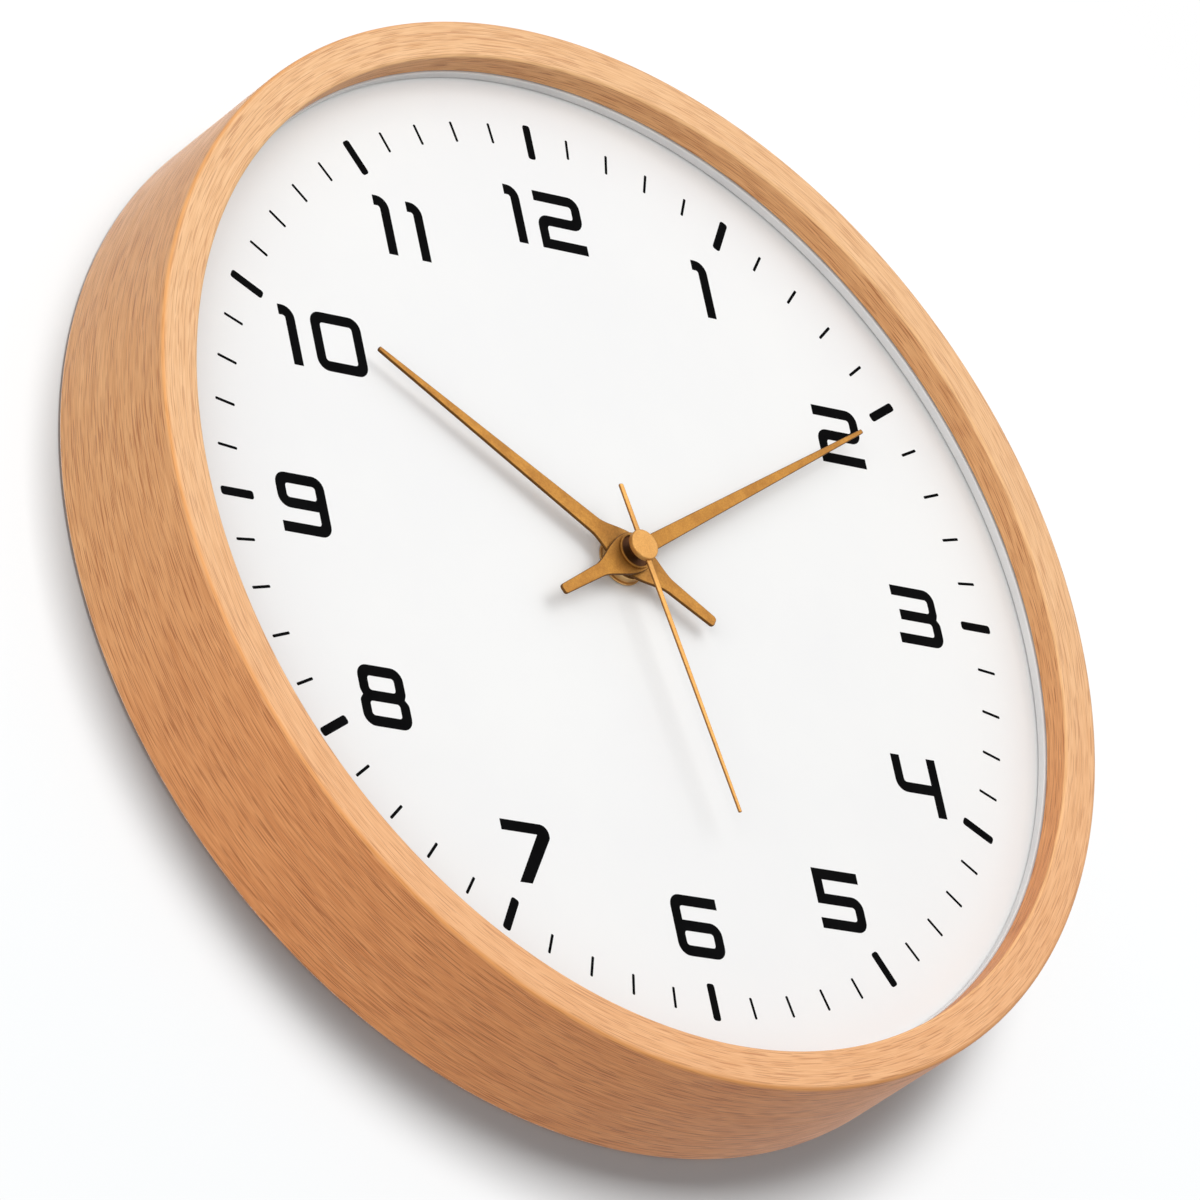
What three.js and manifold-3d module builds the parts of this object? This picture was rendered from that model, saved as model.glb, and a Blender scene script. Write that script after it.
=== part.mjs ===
// Round wooden wall clock with an open face, three hands and a battery quartz movement.
// Millimetres. The dial faces -Y, twelve o'clock is +Z and three o'clock is +X.
// The origin lies on the hands' axis, in the plane of the wall that the clock hangs on.
import * as THREE from "three";
import { mergeVertices } from "three/addons/utils/BufferGeometryUtils.js";
import Module from "manifold-3d";

const wasm = await Module();
wasm.setup();

// Clearances
const seatGap = 0.3; // between pieces that rest on each other
const runGap = 0.1; // radial, between a shaft and its bearing
const pressGap = 0.1; // radial, between a hub and the shaft that it is pushed on
const cutReach = 1; // how far a cutting body runs past the face that it opens

// Wooden frame
const frameDiameter = 302;
const frameDepth = 44;
const frameFace = 10.75; // width of the front face, to the opening
const frameWall = 7.5; // behind the lip, to the rebate
const lipDepth = 7.8;
const outerRound = 1.5;
const innerRound = 1;
const backRound = 1.2;
const ringSegments = 96; // of the frame, the spacer ring and the dial
const roundSteps = 3;

// Dial and the ring that spaces it from the lip
const dialDrop = 11; // from the front of the frame to the printed face
const dialThickness = 2.5;
const spacerOverlap = 0.5; // the ring stands this far inside the wooden lip

// Clips that hold the dial in the frame
const clipCount = 4;
const clipFirstAngle = 45;
const clipSheet = 1;
const clipWidth = 12;
const clipFoot = 11;
const clipHeight = 14;
const clipScrewInset = 4.5; // from the free end of the clip to its screw

// Pan-head wood screws
const screwShankRadius = 1.3;
const screwHeadRadius = 2.8;
const screwCrownRadius = 1.7;
const screwHeadHeight = 1.7;
const screwRimHeight = 0.6;
const screwBite = 4.4; // depth in the wood
const screwPointLength = 1.4;
const crossLength = 2.8;
const crossWidth = 0.8;
const crossDepth = 0.9;
const screwSegments = 12;

// Hanger bracket at twelve o'clock
const hangerSheet = 1.5;
const hangerSetback = 1.5; // from the wall to the bracket
const hangerHalfAngle = 9;
const hangerLegDepth = 15;
const hangerDrop = 26;
const hangerNoseRadius = 11;
const hangerScrewAngle = 5.4;
const keyholeHeadRadius = 5;
const keyholeSlotWidth = 5;
const keyholeRise = 8;

// Shell of the quartz movement
const caseWall = 1.3;
const caseCorner = 3;
const bayWall = 1.1;
const coverThickness = 1.2;
const postRadius = 1.1;
const bossRadius = 1.5;
const bossHeight = 1.2;
const pivotDepth = 1.4; // of a pivot in its boss
const postInset = 2; // from the edges of the circuit board to its posts
const postSegments = 10;

// Battery and its contacts
const cellDiameter = 14.2;
const cellLength = 50.2;
const cellNubRadius = 2.7;
const cellNubLength = 1.2;
const cellEdge = 0.8;
const contactSheet = 0.4;
const contactWidth = 7;
const contactHeight = 9;
const leafTravel = 2.6; // of the sprung contact, from the wall to the cell
const leafCrest = 2; // length of its crest
const leafRise = 1.4; // from its end to the front of its base

// Coaxial shafts, from the inside out
const secondShaftRadius = 0.5;
const pipeWall = 0.65;
const bushWall = 1.4;
const shaftSegments = 14;
const hubSegments = 24;

// What clamps the movement to the dial
const washerThickness = 0.5;
const washerRadius = 6.8;
const nutThickness = 2;
const nutRadius = 6.3;
const rubberThickness = 1;
const rubberRadius = 9;
const flangeRadius = 7;
const flangeThickness = 0.7;
const bushRise = 3.3; // above the printed face

// Hubs of the hands
const turnedEdge = 0.3; // on the nut and the cap
const hourCollarHeight = 0.5;
const hourCollarRadius = 5.2;
const handSheet = 0.9;
const minuteCollarHeight = 0.7;
const minuteCollarRadius = 4.9;
const minuteRim = 0.45; // width of the collar's rim round its recess
const neckHeight = 1.9;
const neckRadius = 2.6;
const capHeight = 1.6;
const capRadius = 4.25;
const needleSheet = 0.6;
const needleLift = 0.3; // from the underside of the cap to the needle

// Hands: lengths from the axis, full widths, the hub's radius and how far it flares both ways
const hourBlade = {
  length: 85.5,
  tail: 29,
  root: 6,
  tip: 1.3,
  tailRoot: 5.4,
  tailEnd: 3.2,
  hub: 6.2,
  flare: 12.5,
  tailFlare: 14,
};
const minuteBlade = {
  length: 104.5,
  tail: 30.8,
  root: 4.6,
  tip: 1.2,
  tailRoot: 4.4,
  tailEnd: 2.8,
  hub: 5.5,
  flare: 9,
  tailFlare: 15,
};
const needle = {
  length: 74.7,
  tail: 17.5,
  root: 1.6,
  tip: 0.8,
  tailRoot: 1.5,
  tailEnd: 1.4,
  hub: 1.6,
  flare: 3.2,
  tailFlare: 3.2,
};
const flareSteps = 9;
const hourAngle = 303.5; // degrees clockwise from twelve
const minuteAngle = 61.2;
const secondAngle = 169.5;

// Gear trains: tooth counts, modules and the directions of the axes
const gearThickness = 0.9;
const layerGap = 0.5;
const cannonTeeth = 10;
const motionTeeth = 30;
const motionPinionTeeth = 8;
const hourTeeth = 32;
const knobTeeth = 10;
const hourModule = 0.55;
const centreTeeth = 64;
const thirdPinionTeeth = 8;
const thirdTeeth = 60;
const secondPinionTeeth = 8;
const thirdDistance = 11.7; // from the hands' axis to the third wheel
const secondTeeth = 40;
const stepPinionTeeth = 8;
const secondModule = 0.5;
const stepTeeth = 48;
const rotorTeeth = 8;
const stepModule = 0.4;
const motionDirection = 20; // degrees from +X towards +Z, seen from the front
const knobDirection = -19;
const thirdDirection = 150;
const stepDirection = 80;
const rotorDirection = 30;

// Tooth form, in modules
const addendum = 0.8;
const dedendum = 1.15;
const tipHalfWidth = 0.32;
const rootHalfWidth = 0.75;

// Arbors and the setting knob
const arborRadius = 0.8;
const pivotRadius = 0.5;
const hubRadius = 1.9;
const hubLength = 3;
const knobRadius = 6.5;
const knobHeight = 2.6;
const knobRibs = 24;
const ribDepth = 0.5;
const stemRadius = 1.3;

// Step motor
const magnetRadius = 2.4;
const magnetLength = 2.4;
const magnetGap = 0.5;
const ironSheet = 0.8;
const statorBar = 2.6;
const statorRim = 1.3;
const coreHeight = 1.6;
const coilLength = 16.2;
const coilRadius = 3;
const bobbinRadius = 1.6;
const flangeRise = 0.3; // of the bobbin's ends above the winding
const bobbinEnd = 0.6;

// Timing circuit
const boardThickness = 0.8;
const boardWidth = 13;
const boardHeight = 18.5;
const chipRadius = 2.8;
const chipHeight = 1.2;
const crystalRadius = 0.9;
const crystalLength = 6;
const crystalInset = 3;

// Finishes
const finish = (color, roughness, metalness = 0) =>
  new THREE.MeshStandardMaterial({ color, roughness, metalness });
const beech = finish(0xdcae82, 0.55);
const whitePlastic = finish(0xe4e4e2, 0.5);
const dialWhite = finish(0xf6f5f3, 0.6);
const zincSteel = finish(0xb4b6b8, 0.4, 1);
const blackPlastic = finish(0x1c1c1d, 0.5);
const naturalPlastic = finish(0xe9e5d8, 0.45);
const brass = finish(0xc8a262, 0.35, 1);
const copperGold = finish(0xc98a45, 0.38, 1);
const rubber = finish(0x242424, 0.85);
const steel = finish(0xa9abae, 0.35, 1);
const softIron = finish(0x7d8084, 0.45, 1);
const magnetGrey = finish(0x3a3b3f, 0.5, 1);
const copperWire = finish(0xa8562a, 0.35, 1);
const boardGreen = finish(0x2d6a44, 0.5);
const epoxyBlack = finish(0x111112, 0.4);
const cellJacket = finish(0x3c5566, 0.35);

const radians = THREE.MathUtils.degToRad;
const point = (a, b) => new THREE.Vector2(a, b);

// Booleans
function solidOf(geometry) {
  const bare = geometry.clone();
  bare.deleteAttribute("normal");
  bare.deleteAttribute("uv");
  const merged = mergeVertices(bare, 1e-4);
  return new wasm.Manifold(
    new wasm.Mesh({
      numProp: 3,
      vertProperties: merged.attributes.position.array,
      triVerts: new Uint32Array(merged.index.array),
    }),
  );
}

function geometryOf(solid) {
  const { vertProperties, triVerts } = solid.getMesh();
  const geometry = new THREE.BufferGeometry();
  geometry.setAttribute("position", new THREE.BufferAttribute(vertProperties, 3));
  geometry.setIndex(new THREE.BufferAttribute(triVerts, 1));
  geometry.computeVertexNormals();
  return geometry;
}

const join = (...parts) => geometryOf(parts.map(solidOf).reduce((sum, part) => sum.add(part)));

const cut = (body, ...tools) =>
  geometryOf(tools.map(solidOf).reduce((left, tool) => left.subtract(tool), solidOf(body)));

// Basic shapes
// A body turned about the Y axis from a profile of (radius, y) that runs counter-clockwise.
const turned = (profile, segments) =>
  new THREE.LatheGeometry([...profile, profile[0].clone()], segments);

const tube = (inner, outer, y0, y1, segments = shaftSegments) =>
  turned([point(inner, y0), point(outer, y0), point(outer, y1), point(inner, y1)], segments);

const rod = (radius, y0, y1, segments = shaftSegments) =>
  new THREE.CylinderGeometry(radius, radius, y1 - y0, segments).translate(0, (y0 + y1) / 2, 0);

const block = (x0, x1, y0, y1, z0, z1) =>
  new THREE.BoxGeometry(x1 - x0, y1 - y0, z1 - z0).translate(
    (x0 + x1) / 2,
    (y0 + y1) / 2,
    (z0 + z1) / 2,
  );

// A flat plate between two places along Y, from an outline drawn as seen from the front.
const plate = (outline, y0, y1) =>
  new THREE.ExtrudeGeometry(outline, { depth: y1 - y0, bevelEnabled: false })
    .rotateX(Math.PI / 2)
    .translate(0, y1, 0);

// A strip of a given width along X, centred, from an outline drawn in (y, z).
const stripAlongX = (outline, width) =>
  new THREE.ExtrudeGeometry(outline, { depth: width, bevelEnabled: false })
    .rotateZ(Math.PI / 2)
    .rotateY(Math.PI / 2)
    .translate(-width / 2, 0, 0);

// A strip of a given width along Z, centred, from an outline drawn in (x, y).
const stripAlongZ = (outline, width) =>
  new THREE.ExtrudeGeometry(outline, { depth: width, bevelEnabled: false }).translate(
    0,
    0,
    -width / 2,
  );

const alongX = (geometry) => geometry.rotateZ(-Math.PI / 2);
const alongZ = (geometry) => geometry.rotateX(Math.PI / 2);
const at = (place, geometry) => geometry.translate(place.x, 0, place.y);

// Points on an arc about (a, b), from one angle to another in degrees.
const arc = (a, b, radius, from, to, steps) =>
  Array.from({ length: steps + 1 }, (_, i) => {
    const angle = radians(from + ((to - from) * i) / steps);
    return point(a + radius * Math.cos(angle), b + radius * Math.sin(angle));
  });

const roundedBox = (x0, x1, z0, z1, corner) =>
  new THREE.Shape([
    ...arc(x1 - corner, z1 - corner, corner, 0, 90, roundSteps),
    ...arc(x0 + corner, z1 - corner, corner, 90, 180, roundSteps),
    ...arc(x0 + corner, z0 + corner, corner, 180, 270, roundSteps),
    ...arc(x1 - corner, z0 + corner, corner, 270, 360, roundSteps),
  ]);

// A place at a distance from another, in a direction given in degrees.
const away = (from, distance, direction) =>
  point(
    from.x + distance * Math.cos(radians(direction)),
    from.y + distance * Math.sin(radians(direction)),
  );

function add(parent, name, geometry, material) {
  const mesh = new THREE.Mesh(geometry, material);
  mesh.name = name;
  parent.add(mesh);
  return mesh;
}

// A group turned clockwise from twelve o'clock by an angle in degrees.
function turnedGroup(parent, angle) {
  const group = new THREE.Group();
  group.rotation.y = radians(angle);
  parent.add(group);
  return group;
}

const clock = new THREE.Group();

// Frame
const frameRadius = frameDiameter / 2;
const openingRadius = frameRadius - frameFace;
const rebateRadius = frameRadius - frameWall;
const front = -frameDepth;
const lipBack = front + lipDepth;
const dialFront = front + dialDrop;
const dialBack = dialFront + dialThickness;
const dialRadius = rebateRadius - seatGap;

const frameProfile = [
  ...arc(openingRadius + innerRound, front + innerRound, innerRound, 180, 270, roundSteps),
  ...arc(frameRadius - outerRound, front + outerRound, outerRound, 270, 360, roundSteps + 1),
  ...arc(frameRadius - backRound, -backRound, backRound, 0, 90, roundSteps),
  point(rebateRadius, 0),
  point(rebateRadius, lipBack),
  point(openingRadius, lipBack),
];

// Screws and the holes they go through, drawn along +Z at twelve o'clock
const screwLength = screwBite + clipSheet + 2 * seatGap;

function screw(seat) {
  const crown = seat - screwHeadHeight;
  const body = new THREE.LatheGeometry(
    [
      point(0, crown),
      point(screwCrownRadius, crown),
      point(screwHeadRadius, seat - screwRimHeight),
      point(screwHeadRadius, seat),
      point(screwShankRadius, seat),
      point(screwShankRadius, seat + screwLength - screwPointLength),
      point(0, seat + screwLength),
    ],
    screwSegments,
  );
  const slot = (x, z) => block(-x / 2, x / 2, crown - cutReach, crown + crossDepth, -z / 2, z / 2);
  return alongZ(cut(body, slot(crossLength, crossWidth), slot(crossWidth, crossLength)));
}

const screwHole = (from, to, y, angle) =>
  alongZ(rod(screwShankRadius + runGap, from, to, screwSegments))
    .translate(0, y, 0)
    .rotateY(radians(angle));

const pilotHole = (y, angle) =>
  screwHole(rebateRadius - cutReach, rebateRadius + screwBite + seatGap, y, angle);

// The frame's inner wall curves away from the flat back of a clip, by the clip's sagitta.
const clipOuter = Math.sqrt(rebateRadius ** 2 - (clipWidth / 2) ** 2) - seatGap;
const clipInner = clipOuter - clipSheet;
const clipBase = dialBack + seatGap;
const clipScrewY = clipBase + clipHeight - clipScrewInset;
const clipAngles = Array.from({ length: clipCount }, (_, i) => clipFirstAngle + (i * 360) / clipCount);

const hangerBack = -hangerSetback;
const hangerOuter = rebateRadius - seatGap;
const hangerInner = hangerOuter - hangerSheet;
const hangerScrewY = hangerBack - hangerLegDepth / 2;
const hangerScrewAngles = [-hangerScrewAngle, hangerScrewAngle];

add(
  clock,
  "wood_frame",
  cut(
    turned(frameProfile, ringSegments),
    ...clipAngles.map((angle) => pilotHole(clipScrewY, angle)),
    ...hangerScrewAngles.map((angle) => pilotHole(hangerScrewY, angle)),
  ),
  beech,
);

// Dial
const minuteInner = secondShaftRadius + runGap;
const minuteOuter = minuteInner + pipeWall;
const hourInner = minuteOuter + runGap;
const hourOuter = hourInner + pipeWall;
const bushInner = hourOuter + runGap;
const bushOuter = bushInner + bushWall;
const bushBore = bushOuter + runGap; // of what the bush goes through

add(
  clock,
  "spacer_ring",
  tube(openingRadius - spacerOverlap, dialRadius, lipBack + seatGap, dialFront - seatGap, ringSegments),
  whitePlastic,
);
add(clock, "dial_plate", tube(bushBore, dialRadius, dialFront, dialBack, ringSegments), dialWhite);

// Dial clips
const clipOutline = new THREE.Shape([
  point(clipBase, clipOuter - clipFoot),
  point(clipBase + clipSheet, clipOuter - clipFoot),
  point(clipBase + clipSheet, clipInner),
  point(clipBase + clipHeight, clipInner),
  point(clipBase + clipHeight, clipOuter),
  point(clipBase, clipOuter),
]);
clipAngles.forEach((angle, i) => {
  const place = turnedGroup(clock, angle);
  const hole = screwHole(clipInner - cutReach, clipOuter + cutReach, clipScrewY, 0);
  add(place, `dial_clip_${i + 1}`, cut(stripAlongX(clipOutline, clipWidth), hole), zincSteel);
  add(place, `clip_screw_${i + 1}`, screw(clipInner - seatGap), steel).position.y = clipScrewY;
});

// Hanger bracket: a curved leg along the inside of the frame and a keyhole plate near the wall
const outerArc = arc(0, 0, hangerOuter, 90 - hangerHalfAngle, 90 + hangerHalfAngle, 2 * roundSteps);
const innerArc = arc(0, 0, hangerInner, 90 + hangerHalfAngle, 90 - hangerHalfAngle, 2 * roundSteps);
const noseZ = hangerInner - hangerDrop + hangerNoseRadius;
const slotHalf = keyholeSlotWidth / 2;
const slotMeets = THREE.MathUtils.radToDeg(Math.asin(slotHalf / keyholeHeadRadius));
const keyPlate = new THREE.Shape([...outerArc, ...arc(0, noseZ, hangerNoseRadius, 180, 360, 3 * roundSteps)]);
keyPlate.holes.push(
  new THREE.Path([
    ...arc(0, noseZ, keyholeHeadRadius, 90 + slotMeets, 450 - slotMeets, 5 * roundSteps),
    ...arc(0, noseZ + keyholeRise, slotHalf, 0, 180, 2 * roundSteps),
  ]),
);
add(
  clock,
  "hanger_bracket",
  cut(
    join(
      plate(new THREE.Shape([...outerArc, ...innerArc]), hangerBack - hangerLegDepth, hangerBack),
      plate(keyPlate, hangerBack - hangerSheet, hangerBack),
    ),
    ...hangerScrewAngles.map((angle) =>
      screwHole(hangerInner - cutReach, hangerOuter + cutReach, hangerScrewY, angle),
    ),
  ),
  zincSteel,
);
hangerScrewAngles.forEach((angle, i) => {
  const place = turnedGroup(clock, angle);
  add(place, `hanger_screw_${i + 1}`, screw(hangerInner - seatGap), steel).position.y = hangerScrewY;
});

// Movement. Its group counts Y from the front face of the case towards the wall.
const movement = new THREE.Group();
movement.position.y = dialBack + 2 * seatGap + rubberThickness;
clock.add(movement);

// A height above the printed face, as a place in the movement's group.
const above = (height) => dialFront - movement.position.y - height;

// Axes of the trains
const meshDistance = (teeth, otherTeeth, module) => ((teeth + otherTeeth) * module) / 2;
const tipRadius = (teeth, module) => (teeth / 2 + addendum) * module;
const centreModule = (2 * thirdDistance) / (centreTeeth + thirdPinionTeeth);
const thirdModule = (2 * thirdDistance) / (thirdTeeth + secondPinionTeeth);
const centreAxis = point(0, 0);
const motionAxis = away(
  centreAxis,
  meshDistance(cannonTeeth, motionTeeth, hourModule),
  motionDirection,
);
const knobAxis = away(motionAxis, meshDistance(motionTeeth, knobTeeth, hourModule), knobDirection);
const thirdAxis = away(centreAxis, thirdDistance, thirdDirection);
const stepAxis = away(
  centreAxis,
  meshDistance(secondTeeth, stepPinionTeeth, secondModule),
  stepDirection,
);
const rotorAxis = away(stepAxis, meshDistance(stepTeeth, rotorTeeth, stepModule), rotorDirection);

// Layers of the trains, each at the front face of its wheels
const flangeFront = caseWall + seatGap;
const layer = (count) => flangeFront + flangeThickness + seatGap + count * (gearThickness + layerGap);
const hourLayer = layer(0);
const motionLayer = layer(1);
const centreLayer = layer(2);
const thirdLayer = layer(3);
const secondLayer = layer(4);
const stepLayer = layer(5);
const magnetFront = stepLayer + gearThickness + layerGap;
const magnetBack = magnetFront + magnetLength;
const statorFront = magnetFront + (magnetLength - ironSheet) / 2;
const statorBack = statorFront + ironSheet;
const coverFront = magnetBack + layerGap + bossHeight;
const coverBack = coverFront + coverThickness;
const caseBack = coverFront - seatGap;

// Room inside the case, from what it holds
const cellRadius = cellDiameter / 2;
const widestWheel = Math.max(
  tipRadius(hourTeeth, hourModule),
  tipRadius(centreTeeth, centreModule),
  tipRadius(secondTeeth, secondModule),
);
const worksBottom = -widestWheel - layerGap;
const bayTop = worksBottom - bayWall;
const cellZ = bayTop - seatGap - cellRadius;
const roomBottom = cellZ - cellRadius - seatGap;
const roomHalf = Math.max(
  (cellLength + contactSheet + leafTravel) / 2 + 2 * seatGap,
  knobAxis.x + tipRadius(knobTeeth, hourModule) + layerGap,
);
const statorBottom = rotorAxis.y - magnetRadius - magnetGap - statorRim;
const topBarBottom = rotorAxis.y + magnetRadius + magnetGap + statorRim;
const coilZ = topBarBottom + statorBar / 2;
const bobbinEndRadius = coilRadius + flangeRise;
const roomTop = coilZ + bobbinEndRadius + seatGap;
const caseHalf = roomHalf + caseWall;
const caseBottom = roomBottom - caseWall;
const caseTop = roomTop + caseWall;

// Places of the motor and the circuit
const partLeft = -roomHalf + seatGap;
const statorRight = rotorAxis.x + magnetRadius + magnetGap + statorRim;
const coilLeft = partLeft + statorBar + seatGap;
const coilRight = coilLeft + coilLength;
const coreFront = statorFront - seatGap - ironSheet;
const coilY = coreFront + ironSheet / 2;
const boardBottom = worksBottom + seatGap;
const boardTop = boardBottom + boardHeight;
const boardPosts = [boardBottom + postInset, boardTop - postInset].map((z) =>
  point(partLeft + postInset, z),
);
const statorPosts = [
  point(partLeft + statorBar / 2, statorBottom + statorBar / 2),
  point(statorRight - statorBar / 2, coilZ),
];

// Case: a front shell with bosses for the arbors, posts and a walled battery bay
const post = (place, top, radius = postRadius) =>
  at(place, rod(radius, caseWall / 2, top, postSegments));
const frontBosses = [
  { place: knobAxis, top: motionLayer - seatGap },
  { place: thirdAxis, top: motionLayer - layerGap },
  { place: stepAxis, top: motionLayer + gearThickness },
  { place: rotorAxis, top: stepLayer - layerGap },
];
const caseShell = cut(
  plate(roundedBox(-caseHalf, caseHalf, caseBottom, caseTop, caseCorner), 0, caseBack),
  block(-roomHalf, roomHalf, caseWall, caseBack + cutReach, worksBottom, roomTop),
  block(-roomHalf, roomHalf, caseWall, caseBack + cutReach, roomBottom, bayTop),
  rod(bushBore, -cutReach, caseWall + cutReach),
);
add(
  movement,
  "movement_case",
  cut(
    join(
      caseShell,
      ...boardPosts.map((place) => post(place, statorFront - seatGap)),
      ...statorPosts.map((place) => post(place, statorFront - seatGap)),
      post(motionAxis, motionLayer + gearThickness, arborRadius),
      ...frontBosses.map(({ place, top }) => post(place, top, bossRadius)),
    ),
    ...frontBosses.map(({ place, top }) =>
      at(place, rod(pivotRadius + runGap, top - pivotDepth, top + cutReach, postSegments)),
    ),
  ),
  blackPlastic,
);

// Cover over the works, which leaves the battery bay open
const rearPivots = [centreAxis, thirdAxis, stepAxis, rotorAxis];
const rearPivotEnd = coverFront - bossHeight + pivotDepth;
add(
  movement,
  "movement_cover",
  cut(
    join(
      plate(roundedBox(-caseHalf, caseHalf, bayTop, caseTop, caseCorner), coverFront, coverBack),
      ...rearPivots.map((place) =>
        at(
          place,
          rod(bossRadius, coverFront - bossHeight, coverFront + coverThickness / 2, postSegments),
        ),
      ),
    ),
    ...rearPivots.map((place) =>
      at(
        place,
        rod(pivotRadius + runGap, coverFront - bossHeight - cutReach, rearPivotEnd, postSegments),
      ),
    ),
    at(knobAxis, rod(stemRadius + runGap, coverFront - cutReach, coverBack + cutReach)),
  ),
  blackPlastic,
);

// Bush, washers and nut
add(
  movement,
  "threaded_bush",
  turned(
    [
      point(bushInner, above(bushRise)),
      point(bushOuter, above(bushRise)),
      point(bushOuter, flangeFront),
      point(flangeRadius, flangeFront),
      point(flangeRadius, flangeFront + flangeThickness),
      point(bushInner, flangeFront + flangeThickness),
    ],
    hubSegments,
  ),
  brass,
);
const rubberFront = -seatGap - rubberThickness;
const washerTop = seatGap + washerThickness;
const nutBottom = washerTop + runGap;
const nutTop = nutBottom + nutThickness;
add(movement, "rubber_washer", tube(bushBore, rubberRadius, rubberFront, -seatGap, hubSegments), rubber);
add(
  movement,
  "brass_washer",
  tube(bushBore, washerRadius, above(washerTop), above(seatGap), hubSegments),
  brass,
);
add(
  movement,
  "round_nut",
  turned(
    [
      point(bushBore, above(nutTop)),
      point(nutRadius - turnedEdge, above(nutTop)),
      point(nutRadius, above(nutTop - turnedEdge)),
      point(nutRadius, above(nutBottom)),
      point(bushBore, above(nutBottom)),
    ],
    hubSegments,
  ),
  brass,
);

// Heights of the hands above the printed face
const hourBottom = bushRise + seatGap;
const hourBladeBottom = hourBottom + hourCollarHeight;
const hourTop = hourBladeBottom + handSheet;
const minuteBottom = hourTop + seatGap;
const minuteBladeTop = minuteBottom + handSheet;
const minuteTop = minuteBladeTop + minuteCollarHeight;
const neckBottom = minuteTop + seatGap;
const capBottom = neckBottom + neckHeight;
const capTop = capBottom + capHeight;
const needleBottom = capBottom + needleLift;
const needleTop = needleBottom + needleSheet;

// Half the width of a hand at a distance along it: a straight taper that swells into the hub.
function halfWidth(blade, distance) {
  const [reach, root, end, flare] =
    distance > 0
      ? [blade.length, blade.root, blade.tip, blade.flare]
      : [blade.tail, blade.tailRoot, blade.tailEnd, blade.tailFlare];
  const along = Math.abs(distance);
  const taper = (root + ((end - root) * along) / reach) / 2;
  const swell = Math.max(0, 1 - (along / flare) ** 2) ** 2;
  return taper + (blade.hub - taper) * swell;
}

function handOutline(blade) {
  const steps = (reach) => Array.from({ length: flareSteps }, (_, i) => (reach * (i + 1)) / flareSteps);
  const hub = [...steps(-blade.tailFlare).reverse(), 0, ...steps(blade.flare)];
  const corner = (end, width, way) => [
    point(halfWidth(blade, way * end) / 2, way * end),
    point(halfWidth(blade, way * end), way * (end - width / 4)),
  ];
  const side = [
    ...corner(blade.tail, blade.tailEnd, -1),
    ...hub.map((s) => point(halfWidth(blade, s), s)),
    ...corner(blade.length, blade.tip, 1).reverse(),
  ];
  return new THREE.Shape([...side, ...side.map(({ x, y }) => point(-x, y)).reverse()]);
}

// A toothed wheel about the Y axis, with a tooth centred at the angle phase, in degrees.
function gear(teeth, module, y0, phase = 0) {
  const tip = tipRadius(teeth, module);
  const root = (teeth / 2 - dedendum) * module;
  const tipTurn = (tipHalfWidth * module) / tip;
  const rootTurn = (rootHalfWidth * module) / root;
  const corner = (radius, turn) => point(radius * Math.cos(turn), radius * Math.sin(turn));
  const outline = Array.from({ length: teeth }, (_, i) => {
    const middle = radians(phase + (360 * i) / teeth);
    return [
      corner(root, middle - rootTurn),
      corner(tip, middle - tipTurn),
      corner(tip, middle + tipTurn),
      corner(root, middle + rootTurn),
    ];
  });
  return plate(new THREE.Shape(outline.flat()), y0, y0 + gearThickness);
}

const fullTurn = 360;
const halfTurn = fullTurn / 2;

// The phase that sets a gap of the second wheel against a tooth of the first, in degrees.
function meshPhase(teeth, phase, otherTeeth, direction) {
  const along = ((direction - phase) * teeth) / fullTurn;
  return direction + halfTurn - ((0.5 - along) * fullTurn) / otherTeeth;
}

const motionPhase = meshPhase(cannonTeeth, 0, motionTeeth, motionDirection);
const knobPhase = meshPhase(motionTeeth, motionPhase, knobTeeth, knobDirection);
const hourPhase = meshPhase(motionPinionTeeth, 0, hourTeeth, motionDirection + halfTurn);
const thirdPinionPhase = meshPhase(centreTeeth, 0, thirdPinionTeeth, thirdDirection);
const secondPinionPhase = meshPhase(thirdTeeth, 0, secondPinionTeeth, thirdDirection + halfTurn);
const stepPinionPhase = meshPhase(secondTeeth, 0, stepPinionTeeth, stepDirection);
const rotorPhase = meshPhase(stepTeeth, 0, rotorTeeth, rotorDirection);

// Hour hand on the pipe of its wheel
const hour = turnedGroup(movement, hourAngle);
add(
  hour,
  "hour_hand",
  cut(
    join(
      plate(handOutline(hourBlade), above(hourTop), above(hourBladeBottom)),
      rod(hourCollarRadius, above(hourTop), above(hourBottom), hubSegments),
    ),
    rod(hourOuter + pressGap, above(hourTop + cutReach), above(hourBottom - cutReach)),
  ),
  copperGold,
);
add(
  movement,
  "hour_wheel",
  cut(
    join(
      gear(hourTeeth, hourModule, hourLayer, hourPhase),
      rod(hourOuter, above(hourTop), hourLayer + gearThickness),
    ),
    rod(hourInner, above(hourTop + cutReach), hourLayer + gearThickness + cutReach),
  ),
  naturalPlastic,
);

// Minute hand on the pipe of the cannon pinion, which the centre wheel turns through friction
const minute = turnedGroup(movement, minuteAngle);
add(
  minute,
  "minute_hand",
  cut(
    join(
      plate(handOutline(minuteBlade), above(minuteBladeTop), above(minuteBottom)),
      rod(minuteCollarRadius, above(minuteTop), above(minuteBottom), hubSegments),
    ),
    join(
      rod(minuteOuter + pressGap, above(minuteTop + cutReach), above(minuteBottom - cutReach)),
      rod(minuteCollarRadius - minuteRim, above(minuteTop + cutReach), above(minuteBladeTop), hubSegments),
    ),
  ),
  copperGold,
);
add(
  movement,
  "minute_pipe",
  cut(
    join(
      gear(cannonTeeth, hourModule, motionLayer),
      rod(minuteOuter, above(minuteTop), centreLayer + gearThickness),
    ),
    rod(minuteInner, above(minuteTop + cutReach), centreLayer + gearThickness + cutReach),
  ),
  brass,
);
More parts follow.
